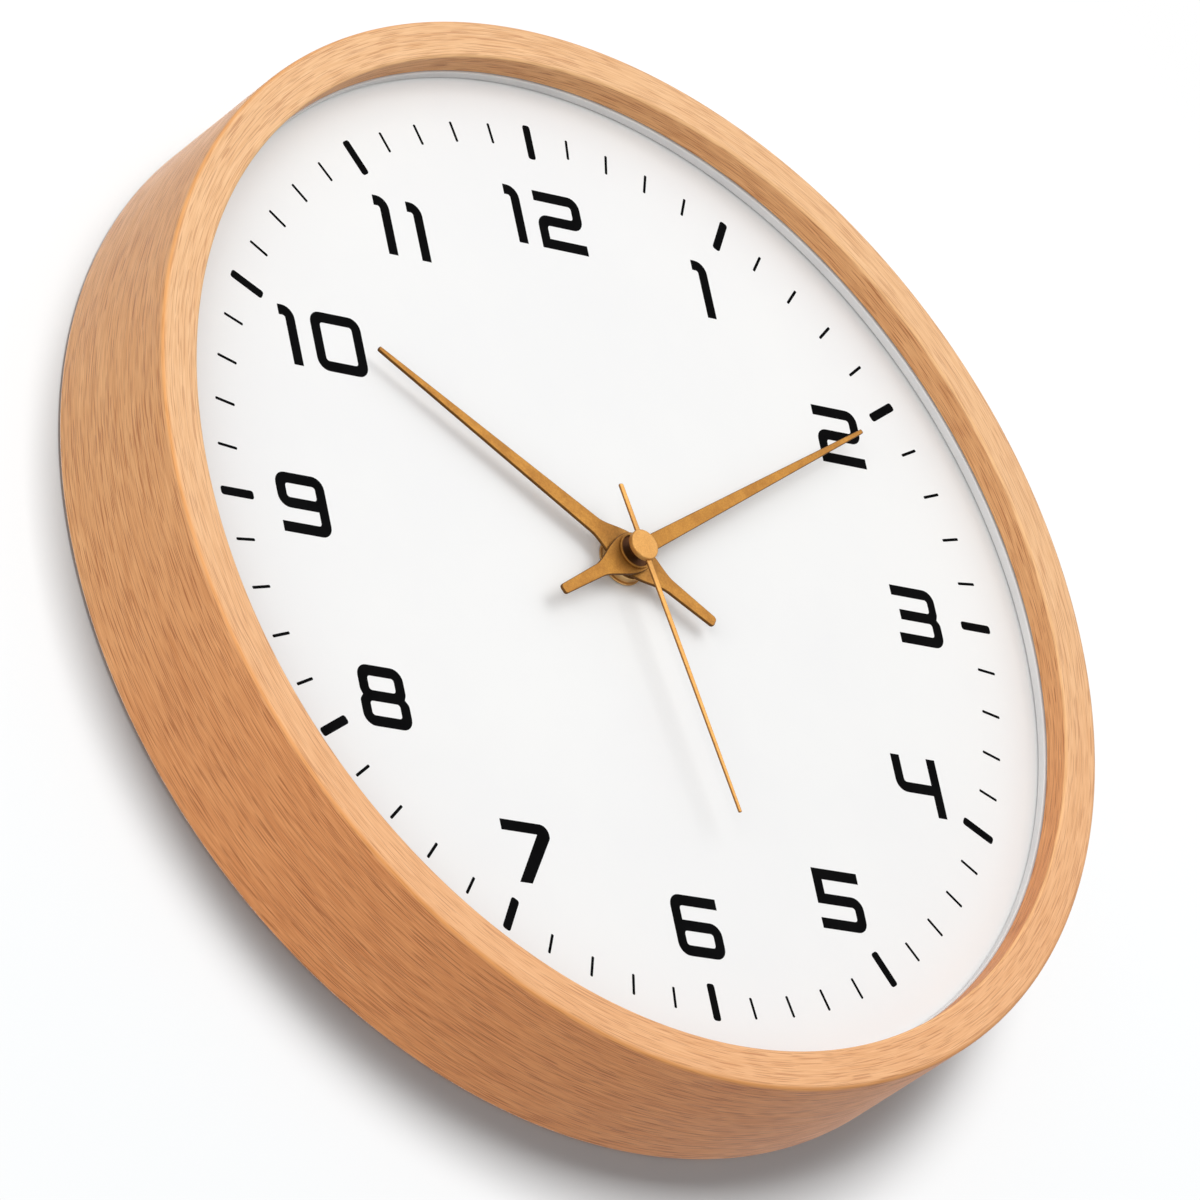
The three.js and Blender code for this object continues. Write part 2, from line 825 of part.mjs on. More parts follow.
add(
  movement,
  "centre_wheel",
  cut(
    gear(centreTeeth, centreModule, centreLayer),
    rod(minuteOuter + pressGap, centreLayer - cutReach, centreLayer + gearThickness + cutReach),
  ),
  naturalPlastic,
);

// Second hand: a needle on a neck, with a cap that sits over it and the shaft that carries both
const second = turnedGroup(movement, secondAngle);
const shaftFront = above(needleTop + runGap);
const shaftBore = secondShaftRadius + pressGap;
const channel = {
  ...needle,
  root: needle.root + 2 * pressGap,
  tip: needle.tip + 2 * pressGap,
  tailRoot: needle.tailRoot + 2 * pressGap,
  tailEnd: needle.tailEnd + 2 * pressGap,
  hub: needle.hub + pressGap,
};
add(
  second,
  "second_hand",
  cut(
    join(
      plate(handOutline(needle), above(needleTop), above(needleBottom)),
      rod(needle.hub, above(needleTop), above(neckBottom)),
      rod(neckRadius, above(capBottom - pressGap), above(neckBottom), hubSegments),
    ),
    rod(shaftBore, above(needleTop + cutReach), above(neckBottom - cutReach)),
  ),
  copperGold,
);
add(
  second,
  "second_cap",
  cut(
    new THREE.LatheGeometry(
      [
        point(0, above(capTop)),
        point(capRadius - turnedEdge, above(capTop)),
        point(capRadius, above(capTop - turnedEdge)),
        point(capRadius, above(capBottom)),
        point(0, above(capBottom)),
      ],
      hubSegments,
    ),
    plate(handOutline(channel), above(needleTop + seatGap), above(capBottom - cutReach)),
  ),
  copperGold,
);
add(movement, "second_shaft", rod(secondShaftRadius, shaftFront, rearPivotEnd - seatGap), steel);
add(
  movement,
  "second_wheel",
  cut(
    join(
      gear(secondTeeth, secondModule, secondLayer),
      gear(secondPinionTeeth, thirdModule, thirdLayer, secondPinionPhase),
      rod(arborRadius, thirdLayer, secondLayer + gearThickness),
    ),
    rod(shaftBore, thirdLayer - cutReach, secondLayer + gearThickness + cutReach),
  ),
  naturalPlastic,
);

// An arbor with thinner pivots, from the bottom of its front bearing to that of its rear one.
const arbor = (place, bossTop) =>
  at(
    place,
    new THREE.LatheGeometry(
      [
        point(0, bossTop - pivotDepth + seatGap),
        point(pivotRadius, bossTop - pivotDepth + seatGap),
        point(pivotRadius, bossTop + runGap),
        point(arborRadius, bossTop + runGap),
        point(arborRadius, coverFront - bossHeight - runGap),
        point(pivotRadius, coverFront - bossHeight - runGap),
        point(pivotRadius, rearPivotEnd - seatGap),
        point(0, rearPivotEnd - seatGap),
      ],
      shaftSegments,
    ),
  );
const [knobBoss, thirdBoss, stepBoss, rotorBoss] = frontBosses;

// Wheels on their own arbors
add(
  movement,
  "motion_wheel",
  at(
    motionAxis,
    cut(
      join(
        gear(motionTeeth, hourModule, motionLayer, motionPhase),
        gear(motionPinionTeeth, hourModule, hourLayer),
        rod(arborRadius + pipeWall, hourLayer, motionLayer + gearThickness),
      ),
      rod(arborRadius + runGap, hourLayer - cutReach, motionLayer + gearThickness + cutReach),
    ),
  ),
  naturalPlastic,
);
add(
  movement,
  "third_wheel",
  join(
    at(thirdAxis, gear(thirdPinionTeeth, centreModule, centreLayer, thirdPinionPhase)),
    at(thirdAxis, gear(thirdTeeth, thirdModule, thirdLayer)),
    arbor(thirdAxis, thirdBoss.top),
  ),
  naturalPlastic,
);
add(
  movement,
  "step_wheel",
  join(
    at(stepAxis, gear(stepPinionTeeth, secondModule, secondLayer, stepPinionPhase)),
    at(stepAxis, gear(stepTeeth, stepModule, stepLayer)),
    arbor(stepAxis, stepBoss.top),
  ),
  naturalPlastic,
);
add(
  movement,
  "rotor_pinion",
  join(
    at(rotorAxis, gear(rotorTeeth, stepModule, stepLayer, rotorPhase)),
    arbor(rotorAxis, rotorBoss.top),
  ),
  naturalPlastic,
);
add(
  movement,
  "rotor_magnet",
  at(rotorAxis, tube(arborRadius + pressGap, magnetRadius, magnetFront, magnetBack)),
  magnetGrey,
);

// Setting knob, pressed into its pinion through the cover
const hubBack = motionLayer + gearThickness + hubLength;
const stemFront = motionLayer + gearThickness;
add(
  movement,
  "setting_pinion",
  at(
    knobAxis,
    cut(
      join(
        gear(knobTeeth, hourModule, motionLayer, knobPhase),
        rod(hubRadius, motionLayer, hubBack),
        rod(pivotRadius, knobBoss.top - pivotDepth + seatGap, motionLayer + gearThickness / 2),
      ),
      rod(stemRadius + pressGap, stemFront, hubBack + cutReach),
    ),
  ),
  naturalPlastic,
);
const ribOutline = Array.from({ length: 2 * knobRibs }, (_, i) =>
  away(centreAxis, knobRadius - (i % 2) * ribDepth, (180 * i) / knobRibs),
);
add(
  movement,
  "setting_knob",
  at(
    knobAxis,
    join(
      plate(new THREE.Shape(ribOutline), coverBack + seatGap, coverBack + seatGap + knobHeight),
      rod(stemRadius, stemFront + seatGap, coverBack + seatGap + knobHeight / 2),
    ),
  ),
  blackPlastic,
);

// Stator: a lower bar to the rotor, a ring round the magnet and an upper bar back to the coil
const statorLeftBar = partLeft + statorBar;
const ringLeft = rotorAxis.x - magnetRadius - magnetGap - statorRim;
const statorOutline = new THREE.Shape([
  point(partLeft, statorBottom),
  point(statorRight, statorBottom),
  point(statorRight, topBarBottom + statorBar),
  point(coilRight + seatGap, topBarBottom + statorBar),
  point(coilRight + seatGap, topBarBottom),
  point(ringLeft, topBarBottom),
  point(ringLeft, statorBottom + statorBar),
  point(statorLeftBar, statorBottom + statorBar),
  point(statorLeftBar, topBarBottom + statorBar),
  point(partLeft, topBarBottom + statorBar),
]);
statorOutline.holes.push(
  new THREE.Path(arc(rotorAxis.x, rotorAxis.y, magnetRadius + magnetGap, 0, 360, shaftSegments)),
);
add(movement, "stator", plate(statorOutline, statorFront, statorBack), softIron);

// Coil on its core
const coilRod = (radius, x0, x1) => alongX(rod(radius, x0, x1)).translate(0, coilY, coilZ);
const coreRoom = (gap) => [
  coreFront - gap,
  coreFront + ironSheet + gap,
  coilZ - coreHeight / 2 - gap,
  coilZ + coreHeight / 2 + gap,
];
add(
  movement,
  "coil_core",
  block(partLeft, coilRight + seatGap + statorBar, ...coreRoom(0)),
  softIron,
);
add(
  movement,
  "coil_bobbin",
  cut(
    join(
      coilRod(bobbinRadius, coilLeft, coilRight),
      coilRod(bobbinEndRadius, coilLeft, coilLeft + bobbinEnd),
      coilRod(bobbinEndRadius, coilRight - bobbinEnd, coilRight),
    ),
    block(coilLeft - cutReach, coilRight + cutReach, ...coreRoom(seatGap)),
  ),
  naturalPlastic,
);
add(
  movement,
  "coil_winding",
  cut(
    coilRod(coilRadius, coilLeft + bobbinEnd + seatGap, coilRight - bobbinEnd - seatGap),
    coilRod(bobbinRadius + seatGap, coilLeft - cutReach, coilRight + cutReach),
  ),
  copperWire,
);

// Circuit
const boardBack = statorFront + boardThickness;
const boardMiddle = (boardBottom + boardTop) / 2;
const chipX = partLeft + boardWidth - crystalInset - chipRadius / 2;
add(
  movement,
  "circuit_board",
  block(partLeft, partLeft + boardWidth, statorFront, boardBack, boardBottom, boardTop),
  boardGreen,
);
add(
  movement,
  "driver_chip",
  new THREE.LatheGeometry(
    [
      point(0, 0),
      point(chipRadius, 0),
      ...arc(0, 0, 1, 0, 90, roundSteps).slice(1).map(({ x, y }) => point(chipRadius * x, chipHeight * y)),
    ].map(({ x, y }) => point(Math.max(x, 0), y)),
    shaftSegments,
  ).translate(chipX, boardBack + seatGap, boardMiddle),
  epoxyBlack,
);
add(
  movement,
  "crystal_can",
  alongZ(rod(crystalRadius, -crystalLength / 2, crystalLength / 2, postSegments)).translate(
    partLeft + crystalInset,
    boardBack + seatGap + crystalRadius,
    boardMiddle,
  ),
  steel,
);

// Battery and contacts
const cellY = caseWall + seatGap + cellRadius;
const cellRight = roomHalf - 2 * seatGap - contactSheet;
const cellLeft = cellRight - cellLength;
const shoulder = cellRight - cellNubLength;
add(
  movement,
  "battery_cell",
  alongX(
    new THREE.LatheGeometry(
      [
        point(0, cellLeft),
        point(cellRadius - cellEdge, cellLeft),
        point(cellRadius, cellLeft + cellEdge),
        point(cellRadius, shoulder - cellEdge),
        point(cellRadius - cellEdge, shoulder),
        point(cellNubRadius, shoulder),
        point(cellNubRadius, cellRight),
        point(0, cellRight),
      ],
      hubSegments,
    ),
  ).translate(0, cellY, cellZ),
  cellJacket,
);
const contactFront = cellY - contactHeight / 2;
const contactRear = cellY + contactHeight / 2;
add(
  movement,
  "positive_contact",
  block(
    roomHalf - seatGap - contactSheet,
    roomHalf - seatGap,
    contactFront,
    contactRear,
    cellZ - contactWidth / 2,
    cellZ + contactWidth / 2,
  ),
  steel,
);
const leafX = cellLeft - seatGap;
const crestHalf = leafCrest / 2;
add(
  movement,
  "negative_contact",
  stripAlongZ(
    new THREE.Shape([
      point(partLeft, contactFront),
      point(partLeft + contactSheet, contactFront),
      point(partLeft + contactSheet, contactRear - 3 * contactSheet),
      point(leafX - contactSheet, cellY + crestHalf - contactSheet),
      point(leafX - contactSheet, cellY - crestHalf + contactSheet),
      point(partLeft + 2 * contactSheet, contactFront + leafRise),
      point(partLeft + 3 * contactSheet, contactFront + leafRise),
      point(leafX, cellY - crestHalf),
      point(leafX, cellY + crestHalf),
      point(partLeft + contactSheet, contactRear),
      point(partLeft, contactRear),
    ]),
    contactWidth,
  ).translate(0, 0, cellZ),
  steel,
);

export default clock;
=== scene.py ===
import math

import bmesh
import bpy
import numpy as np
from mathutils import Matrix, Vector
from mathutils.geometry import tessellate_polygon


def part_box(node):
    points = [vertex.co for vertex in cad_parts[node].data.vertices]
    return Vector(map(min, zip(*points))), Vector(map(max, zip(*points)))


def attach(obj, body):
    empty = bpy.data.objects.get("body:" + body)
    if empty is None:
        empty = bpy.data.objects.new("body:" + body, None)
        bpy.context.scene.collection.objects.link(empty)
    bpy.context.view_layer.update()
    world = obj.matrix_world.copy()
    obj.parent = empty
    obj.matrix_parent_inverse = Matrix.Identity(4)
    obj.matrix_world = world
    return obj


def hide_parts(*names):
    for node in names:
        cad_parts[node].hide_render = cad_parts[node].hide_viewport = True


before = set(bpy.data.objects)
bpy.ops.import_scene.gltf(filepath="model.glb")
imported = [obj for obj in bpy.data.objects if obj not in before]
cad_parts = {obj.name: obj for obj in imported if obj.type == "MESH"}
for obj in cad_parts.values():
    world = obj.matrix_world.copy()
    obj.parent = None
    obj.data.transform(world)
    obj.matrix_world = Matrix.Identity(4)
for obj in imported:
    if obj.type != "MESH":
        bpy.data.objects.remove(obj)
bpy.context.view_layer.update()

# Metres, in the frame's own axes: the dial faces -Y, twelve o'clock is +Z, three o'clock is +X
MM = 0.001


def corners(node):
    """The lowest and the highest corner of a construction piece."""
    low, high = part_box(node)
    return np.array(low), np.array(high)


# Sizes that the construction gives
frame_low, frame_high = corners("wood_frame")
dial_low, dial_high = corners("dial_plate")
spacer_low, spacer_high = corners("spacer_ring")
washer_low, washer_high = corners("brass_washer")
nut_low, nut_high = corners("round_nut")
hour_low, hour_high = corners("hour_hand")
minute_low, minute_high = corners("minute_hand")
_, needle_high = corners("second_hand")
cap_low, cap_high = corners("second_cap")
cell_low, cell_high = corners("battery_cell")

# Wooden ring
FRAME_RADIUS = frame_high[0]
FRAME_FACE = 10.75 * MM
FRAME_WALL = 7.5 * MM
LIP_DEPTH = 7.8 * MM
OUTER_ROUND = 1.5 * MM
INNER_ROUND = 1 * MM
BACK_ROUND = 1.2 * MM
REBATE_ROUND = 0.4 * MM
LIP_ROUND = 0.3 * MM
RING_SEGMENTS = 512
OPENING_RADIUS = FRAME_RADIUS - FRAME_FACE
REBATE_RADIUS = FRAME_RADIUS - FRAME_WALL
# Where the painted highlights on the rounded front edges peak along each arc, and how far they spread
HIGHLIGHT_ANGLE = math.radians(42)
HIGHLIGHT_SPREAD = math.radians(18)

# Grain: how far the fibres sway, and the heights between which painted shade darkens the wood towards the
# bottom
FIBRE_SWAY = 0.7 * MM
LOWER_SHADE_FROM = 30 * MM
LOWER_SHADE_TO = -110 * MM

# Spacer and dial
SPACER_OVERLAP = 0.5 * MM
SPACER_ROUND = 0.35 * MM
DIAL_SEGMENTS = 256
DIAL_EDGE = 0.25 * MM
BUSH_BORE = 3.6 * MM  # of the dial, the washer and the nut

# Print on the dial
INK = 0.04 * MM
MARK_COUNT = 60
MARKS_PER_HOUR = 5
MINUTE_MARK = {"middle": 124.1 * MM, "length": 5.9 * MM, "width": 0.8 * MM, "corner": 0.3 * MM}
HOUR_MARK = {"middle": 123.2 * MM, "length": 10.2 * MM, "width": 2.45 * MM, "corner": 0.75 * MM}
NUMERAL_HEIGHT = 17 * MM
NUMERAL_WIDTH = 15.4 * MM
ZERO_WIDTH = 16.2 * MM
ONE_WIDTH = 4.9 * MM
STROKE = 3 * MM
OUTER_BEND = 3.4 * MM
INNER_BEND = 0.9 * MM
NUMERAL_GAP = 5 * MM
ONES_GAP = 6 * MM
NUMERAL_RADIUS = 102.5 * MM
NUMERAL_INSET = {10: 4.3 * MM, 11: 0.9 * MM, 12: 2.5 * MM}

# Hands: lengths from the axis, full widths, the hub's radius and how far it flares both ways
HOUR_BLADE = {
    "length": 85.5 * MM,
    "tail": 29 * MM,
    "root": 6 * MM,
    "tip": 1.3 * MM,
    "tail_root": 5.4 * MM,
    "tail_end": 3.2 * MM,
    "hub": 6.2 * MM,
    "flare": 12.5 * MM,
    "tail_flare": 14 * MM,
}
MINUTE_BLADE = {
    "length": 104.5 * MM,
    "tail": 30.8 * MM,
    "root": 4.6 * MM,
    "tip": 1.2 * MM,
    "tail_root": 4.4 * MM,
    "tail_end": 2.8 * MM,
    "hub": 5.5 * MM,
    "flare": 9 * MM,
    "tail_flare": 15 * MM,
}
NEEDLE = {
    "length": 74.7 * MM,
    "tail": 17.5 * MM,
    "root": 1.7 * MM,
    "tip": 0.95 * MM,
    "tail_root": 1.6 * MM,
    "tail_end": 1.4 * MM,
    "hub": 1.6 * MM,
    "flare": 3.2 * MM,
    "tail_flare": 3.2 * MM,
}
FRONT_KEYS = ("length", "root", "tip", "flare")
TAIL_KEYS = ("tail", "tail_root", "tail_end", "tail_flare")
HOUR_ANGLE = 303.5  # degrees clockwise from twelve
MINUTE_ANGLE = 61.2
SECOND_ANGLE = 169.5
HAND_SHEET = 0.9 * MM
NEEDLE_SHEET = 0.6 * MM
NEEDLE_LIFT = 0.3 * MM  # from the cap's back to the needle's back
HAND_EDGE = 0.2 * MM
NEEDLE_EDGE = 0.18 * MM
END_CORNER = 0.3  # share of the end's width
FLARE_STEPS = 24
BLADE_STEPS = 36
END_STEPS = 4
HOUR_BORE = 2.1 * MM
MINUTE_BORE = 1.35 * MM
SHAFT_BORE = 0.6 * MM
HOUR_COLLAR_RADIUS = 5.2 * MM
MINUTE_COLLAR_RADIUS = 4.9 * MM
MINUTE_RIM = 0.45 * MM
RECESS_EDGE = 0.01 * MM
COLLAR_EDGE = 0.15 * MM
NECK_RADIUS = 2.6 * MM
NECK_GAP = 0.1 * MM
CAP_EDGE = 0.35 * MM
HUB_SEGMENTS = 96
NUT_EDGE = 0.3 * MM
WASHER_EDGE = 0.12 * MM
# Painted shade on the hands towards the collars: its share near the axis, and the distances over which it
# fades to none
COLLAR_SHADE = 0.25
COLLAR_SHADE_START = 4.5 * MM
COLLAR_SHADE_END = 13 * MM

# Back: the widths of the rounded edges, and the cell in its bay
CASE_ROUND = 0.3 * MM
SHEET_ROUND = 0.25 * MM
SCREW_ROUND = 0.2 * MM
LEAF_ROUND = 0.08 * MM
CELL_BUTTON_RADIUS = 2.7 * MM
CELL_BUTTON_LENGTH = 1.2 * MM
CELL_EDGE = 0.8 * MM
CELL_COLLAR = 1.4 * MM
CELL_FILM = 0.1 * MM
CELL_BAND = 13 * MM
CELL_BAND_BLUR = 0.1 * MM
CELL_SEGMENTS = 72

# Tolerances, and the angles above which an edge is sharp or gets rounded
ON_LINE = 0.01 * MM
ONE_POINT = 0.001 * MM
SHARP_ANGLE = math.radians(40)
BEVEL_ANGLE = math.radians(30)
FLAT_ANGLE = math.radians(1)  # below it, neighbouring faces are joined

# View of the photograph
VIEW_AZIMUTH = -44.259
VIEW_ELEVATION = -24.8
VIEW_ROLL = -12.062
VIEW_AIM = np.array([-9.46, -33.0, -12.19]) * MM
VIEW_DISTANCE = 2221.1 * MM
LENS = 263.6
SENSOR = 36.0
VIEW_CLIP = (0.1, 20.0)

# Wall and lamps: directions from the dial, distances and sizes in metres, powers in watts
PLAIN_WHITE = {"Color": (1, 1, 1, 1), "Strength": 1.0}
WALL_GREY = {"Color": (0.6, 0.6, 0.6, 1)}
WALL_LIFT = {"Color": (0.5, 0.82, 1.0, 1), "Strength": 0.05}
WALL_HALF = 4.0
WALL_SETBACK = 0.3 * MM
WALL_FADE_START = 200 * MM
WALL_FADE_END = 380 * MM
AMBIENT = 0.38
DEEP_AMBIENT = 0.8 * AMBIENT
KEY = {"direction": (0.42, -0.76, 0.50), "distance": 1.8, "size": 1.9, "power": 8.9, "bounces": 2}
FRONT = {"direction": (0.18, -0.95, 0.25), "distance": 2.0, "size": 1.4, "power": 11.3, "bounces": 4}
SIDE = {"direction": (-0.85, -0.50, -0.12), "distance": 2.0, "size": 1.8, "power": 24.0}
BACK = {"direction": (0.3, 0.9, 0.45), "distance": 2.2, "size": 1.4, "power": 19.0}
WALL = {"direction": (0.02, -0.97, 0.30), "distance": 3.0, "size": 1.3, "power": 125.0}


# Surfaces
def grid_quads(rows, columns, wrap_rows):
    """Quads between neighbouring points of a grid. Its columns close on themselves, and its rows
    do too where wrap_rows says so."""
    row = np.arange(rows if wrap_rows else rows - 1)[:, None] * columns
    column = np.arange(columns)[None, :]
    next_row = (row + columns) % (rows * columns)
    next_column = (column + 1) % columns
    quads = [row + column, row + next_column, next_row + next_column, next_row + column]
    return np.stack(quads, axis=-1).reshape(-1, 4)


NO_TRIANGLES = np.zeros((0, 3), int)


def outwards(points, quads, triangles):
    """Turns all faces round where the volume, the sum of a . (b x c) / 6 over the triangles
    (a, b, c), comes out negative."""
    fans = np.concatenate([quads[:, [0, 1, 2]], quads[:, [0, 2, 3]], triangles])
    a, b, c = (points[fans[:, k]] for k in range(3))
    if np.sum(a * np.cross(b, c)) < 0:
        return quads[:, ::-1], triangles[:, ::-1]
    return quads, triangles


def add_object(name, data):
    """A new object in the scene, at the origin."""
    made = bpy.data.objects.new(name, data)
    bpy.context.scene.collection.objects.link(made)
    return made


def smooth_object(name, mesh):
    """An object of a mesh, with all its faces smooth."""
    mesh.polygons.foreach_set("use_smooth", np.ones(len(mesh.polygons), bool))
    return add_object(name, mesh)


def keep_flat(piece):
    """Shading that leaves flat faces flat beside rounded edges."""
    shading = piece.modifiers.new("flat_faces_stay_flat", "WEIGHTED_NORMAL")
    shading.keep_sharp = True


def make_piece(name, surface, material, body, weighted=True):
    """A mesh object from points, quads and triangles, smooth but for its sharp edges."""
    points, quads, triangles = surface
    quads, triangles = outwards(points, quads, triangles)
    mesh = bpy.data.meshes.new(name)
    mesh.from_pydata(points.tolist(), [], quads.tolist() + triangles.tolist())
    mesh.validate()
    mesh.materials.append(material)
    piece = smooth_object(name, mesh)
    mesh.set_sharp_from_angle(angle=SHARP_ANGLE)
    if weighted:
        keep_flat(piece)
    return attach(piece, body)


def turned(profile, segments):
    """A profile of (radius, y) turned about the Y axis: x = radius sin t and z = radius cos t,
    with t from 0 to a full turn. A profile that starts on the axis also ends there and gets a
    pole at each end; any other closes on itself."""
    profile = np.asarray(profile, float)
    t = np.linspace(0, 2 * np.pi, segments, endpoint=False)
    solid = profile[0, 0] == 0
    rings = profile[1:-1] if solid else profile
    radius, y = rings[:, :1], rings[:, 1:]
    grid = np.stack([radius * np.sin(t), y + 0 * t, radius * np.cos(t)], axis=-1)
    points = grid.reshape(-1, 3)
    quads = grid_quads(len(rings), segments, not solid)
    if not solid:
        return points, quads, NO_TRIANGLES
    poles = np.array([[0, profile[0, 1], 0], [0, profile[-1, 1], 0]])
    column = np.arange(segments)
    after = (column + 1) % segments
    last = (len(rings) - 1) * segments
    first_pole = np.full(segments, len(points))
    fans = [
        np.stack([after, column, first_pole], axis=-1),
        np.stack([last + column, last + after, first_pole + 1], axis=-1),
    ]
    return np.concatenate([points, poles]), quads, np.concatenate(fans)


def round_corners(outline, radii, steps=6):
    """A closed outline whose corners become arcs. An arc of radius r touches both sides at
    r / tan h from the corner, and its centre is r / sin h away on the bisector, where h is half
    the angle between the sides."""
    outline = np.asarray(outline, float)
    made = []
    for i, (corner, radius) in enumerate(zip(outline, radii)):
        if radius == 0:
            made.append(corner[None])
            continue
        before = outline[i - 1] - corner
        after = outline[(i + 1) % len(outline)] - corner
        before /= np.linalg.norm(before)
        after /= np.linalg.norm(after)
        half = np.arccos(np.clip(before @ after, -1, 1)) / 2
        bisector = (before + after) / np.linalg.norm(before + after)
        centre = corner + bisector * radius / np.sin(half)
        start = corner + before * radius / np.tan(half) - centre
        end = corner + after * radius / np.tan(half) - centre
        side = np.array([-start[1], start[0]])
        turn = np.linspace(0, np.arctan2(end @ side, end @ start), steps + 1)[:, None]
        made.append(centre + start * np.cos(turn) + side * np.sin(turn))
    return np.concatenate(made)


def signed_area(loop):
    """Half the sum of x z' - x' z over the sides of an outline: positive counter-clockwise."""
    after = np.roll(loop, -1, axis=0)
    return np.sum(loop[:, 0] * after[:, 1] - after[:, 0] * loop[:, 1]) / 2


def slab(loops, front, back):
    """A flat body between two places along Y, from outlines of (x, z): the outer one first, then
    its holes. Both faces are filled with triangles, and each side of an outline is a quad."""
    loops = [
        loop if (signed_area(loop) > 0) == (place == 0) else loop[::-1]
        for place, loop in enumerate(loops)
    ]
    flat = np.concatenate(loops)
    count = len(flat)
    rims = [list(map(Vector, np.insert(loop, 2, 0, axis=1))) for loop in loops]
    fill = np.array(tessellate_polygon(rims))
    a, b, c = (flat[fill[:, k]] for k in range(3))
    turn = (b[:, 0] - a[:, 0]) * (c[:, 1] - a[:, 1]) - (b[:, 1] - a[:, 1]) * (c[:, 0] - a[:, 0])
    fill[turn < 0] = fill[turn < 0][:, ::-1]
    points = np.concatenate([np.insert(flat, 1, y, axis=1) for y in (front, back)])
    sides = []
    start = 0
    for loop in loops:
        here = start + np.arange(len(loop))
        after = start + (np.arange(len(loop)) + 1) % len(loop)
        sides.append(np.stack([after, here, here + count, after + count], axis=-1))
        start += len(loop)
    return points, np.concatenate(sides), np.concatenate([fill, fill[:, ::-1] + count])


def together(surfaces):
    """Several surfaces as one, with the numbers of their points carried on."""
    starts = np.cumsum([0] + [len(points) for points, _, _ in surfaces[:-1]])
    return (
        np.concatenate([points for points, _, _ in surfaces]),
        np.concatenate([quads + start for (_, quads, _), start in zip(surfaces, starts)]),
        np.concatenate([fans + start for (_, _, fans), start in zip(surfaces, starts)]),
    )


def clockwise(outline, degrees):
    """An outline of (x, z) turned clockwise, as seen from the front."""
    turn = math.radians(degrees)
    x, z = outline[:, 0], outline[:, 1]
    return np.stack(
        [x * math.cos(turn) + z * math.sin(turn), z * math.cos(turn) - x * math.sin(turn)], axis=-1
    )


def moved_in(outline, distance):
    """A counter-clockwise outline moved inwards: each point goes along the sum of the inward
    normals of its two sides, divided by one plus their product, times the distance."""
    side = np.roll(outline, -1, axis=0) - outline
    side /= np.linalg.norm(side, axis=1, keepdims=True)
    inward = np.stack([-side[:, 1], side[:, 0]], axis=-1)
    before = np.roll(inward, 1, axis=0)
    share = 1 + np.sum(inward * before, axis=1, keepdims=True)
    return outline + distance * (inward + before) / share


def stamped(outline, bore, front, back, edge, steps=4):
    """A flat plate with rounded edges between an outline and a round bore. A row of the grid is
    the outline moved in by edge (1 - sin a), at a depth of edge (1 - cos a), for a from 0 to 90
    degrees. Each point of the outline faces the point of the bore in its own direction. With it
    come numbers that are one on the edge and zero on both faces."""
    angle = np.linspace(0, np.pi / 2, steps + 1)
    insets = edge * (1 - np.sin(angle))
    depths = edge * (1 - np.cos(angle))
    ring = outline / np.linalg.norm(outline, axis=1, keepdims=True) * bore
    rounds = [moved_in(outline, inset) for inset in insets]
    rows = [(ring, front)]
    rows += [(line, front + depth) for line, depth in zip(rounds, depths)]
    rows += [(line, back - depth) for line, depth in zip(rounds[::-1], depths[::-1])]
    rows += [(ring, back)]
    grid = np.stack([np.insert(line, 1, y, axis=1) for line, y in rows])
    rim = np.repeat(np.r_[0, 0, np.ones(len(rows) - 4), 0, 0], len(outline))
    return (grid.reshape(-1, 3), grid_quads(len(rows), len(outline), True), NO_TRIANGLES), rim


def paint(piece, name, values):
    """A number at each point of a piece, for its material to read."""
    layer = piece.data.attributes.new(name, "FLOAT", "POINT")
    layer.data.foreach_set("value", np.asarray(values, np.float32))


# Nodes of the materials
def add_node(tree, kind, inputs=None, **settings):
    """A node with its settings. An input is a link where its value is a socket."""
    node = tree.nodes.new(kind)
    for key, value in settings.items():
        setattr(node, key, value)
    for key, value in (inputs or {}).items():
        if isinstance(value, bpy.types.NodeSocket):
            tree.links.new(value, node.inputs[key])
        else:
            node.inputs[key].default_value = value
    return node


def empty_tree(owner):
    """The node tree of a material or of the world, emptied."""
    owner.use_nodes = True
    owner.node_tree.nodes.clear()
    return owner.node_tree


def use_group(tree, group, inputs):
    """The outputs of a node group that is placed in a tree."""
    return add_node(tree, "ShaderNodeGroup", inputs, node_tree=group).outputs


def reckon(tree, operation, first, second=0.0):
    """One step of arithmetic on two values."""
    inputs = {0: first, 1: second}
    return add_node(tree, "ShaderNodeMath", inputs, operation=operation).outputs[0]


def mixed(tree, share, first, second, mode="MIX"):
    """The first colour where the share is zero. Where it is one, the second, or in the mode
    MULTIPLY the product of both."""
    inputs = {0: share, 6: first, 7: second}
    return add_node(tree, "ShaderNodeMix", inputs, data_type="RGBA", blend_type=mode).outputs[2]


def between(tree, value, low, high, to_low=0.0, to_high=1.0, smooth=False):
    """A value carried from the range low to high into the range to_low to to_high, in a straight
    line or in a smooth step."""
    inputs = {0: value, 1: low, 2: high, 3: to_low, 4: to_high}
    kind = "SMOOTHSTEP" if smooth else "LINEAR"
    return add_node(tree, "ShaderNodeMapRange", inputs, interpolation_type=kind).outputs[0]


def painted(tree, name):
    """The numbers that paint put on a piece."""
    return add_node(tree, "ShaderNodeAttribute", attribute_name=name).outputs["Fac"]


def from_axis(tree, place):
    """The distance to the hands' axis: the length of a place whose y is left out."""
    flat = {0: place, 1: (1, 0, 1)}
    flat = add_node(tree, "ShaderNodeVectorMath", flat, operation="MULTIPLY").outputs[0]
    return add_node(tree, "ShaderNodeVectorMath", {0: flat}, operation="LENGTH").outputs["Value"]


def rgb(red, green, blue):
    """A colour as a picture shows it, 0 to 255, as the shader's linear values."""
    share = np.array([red, green, blue]) / 255
    linear = np.where(share <= 0.04045, share / 12.92, ((share + 0.055) / 1.055) ** 2.4)
    return (*linear.tolist(), 1.0)


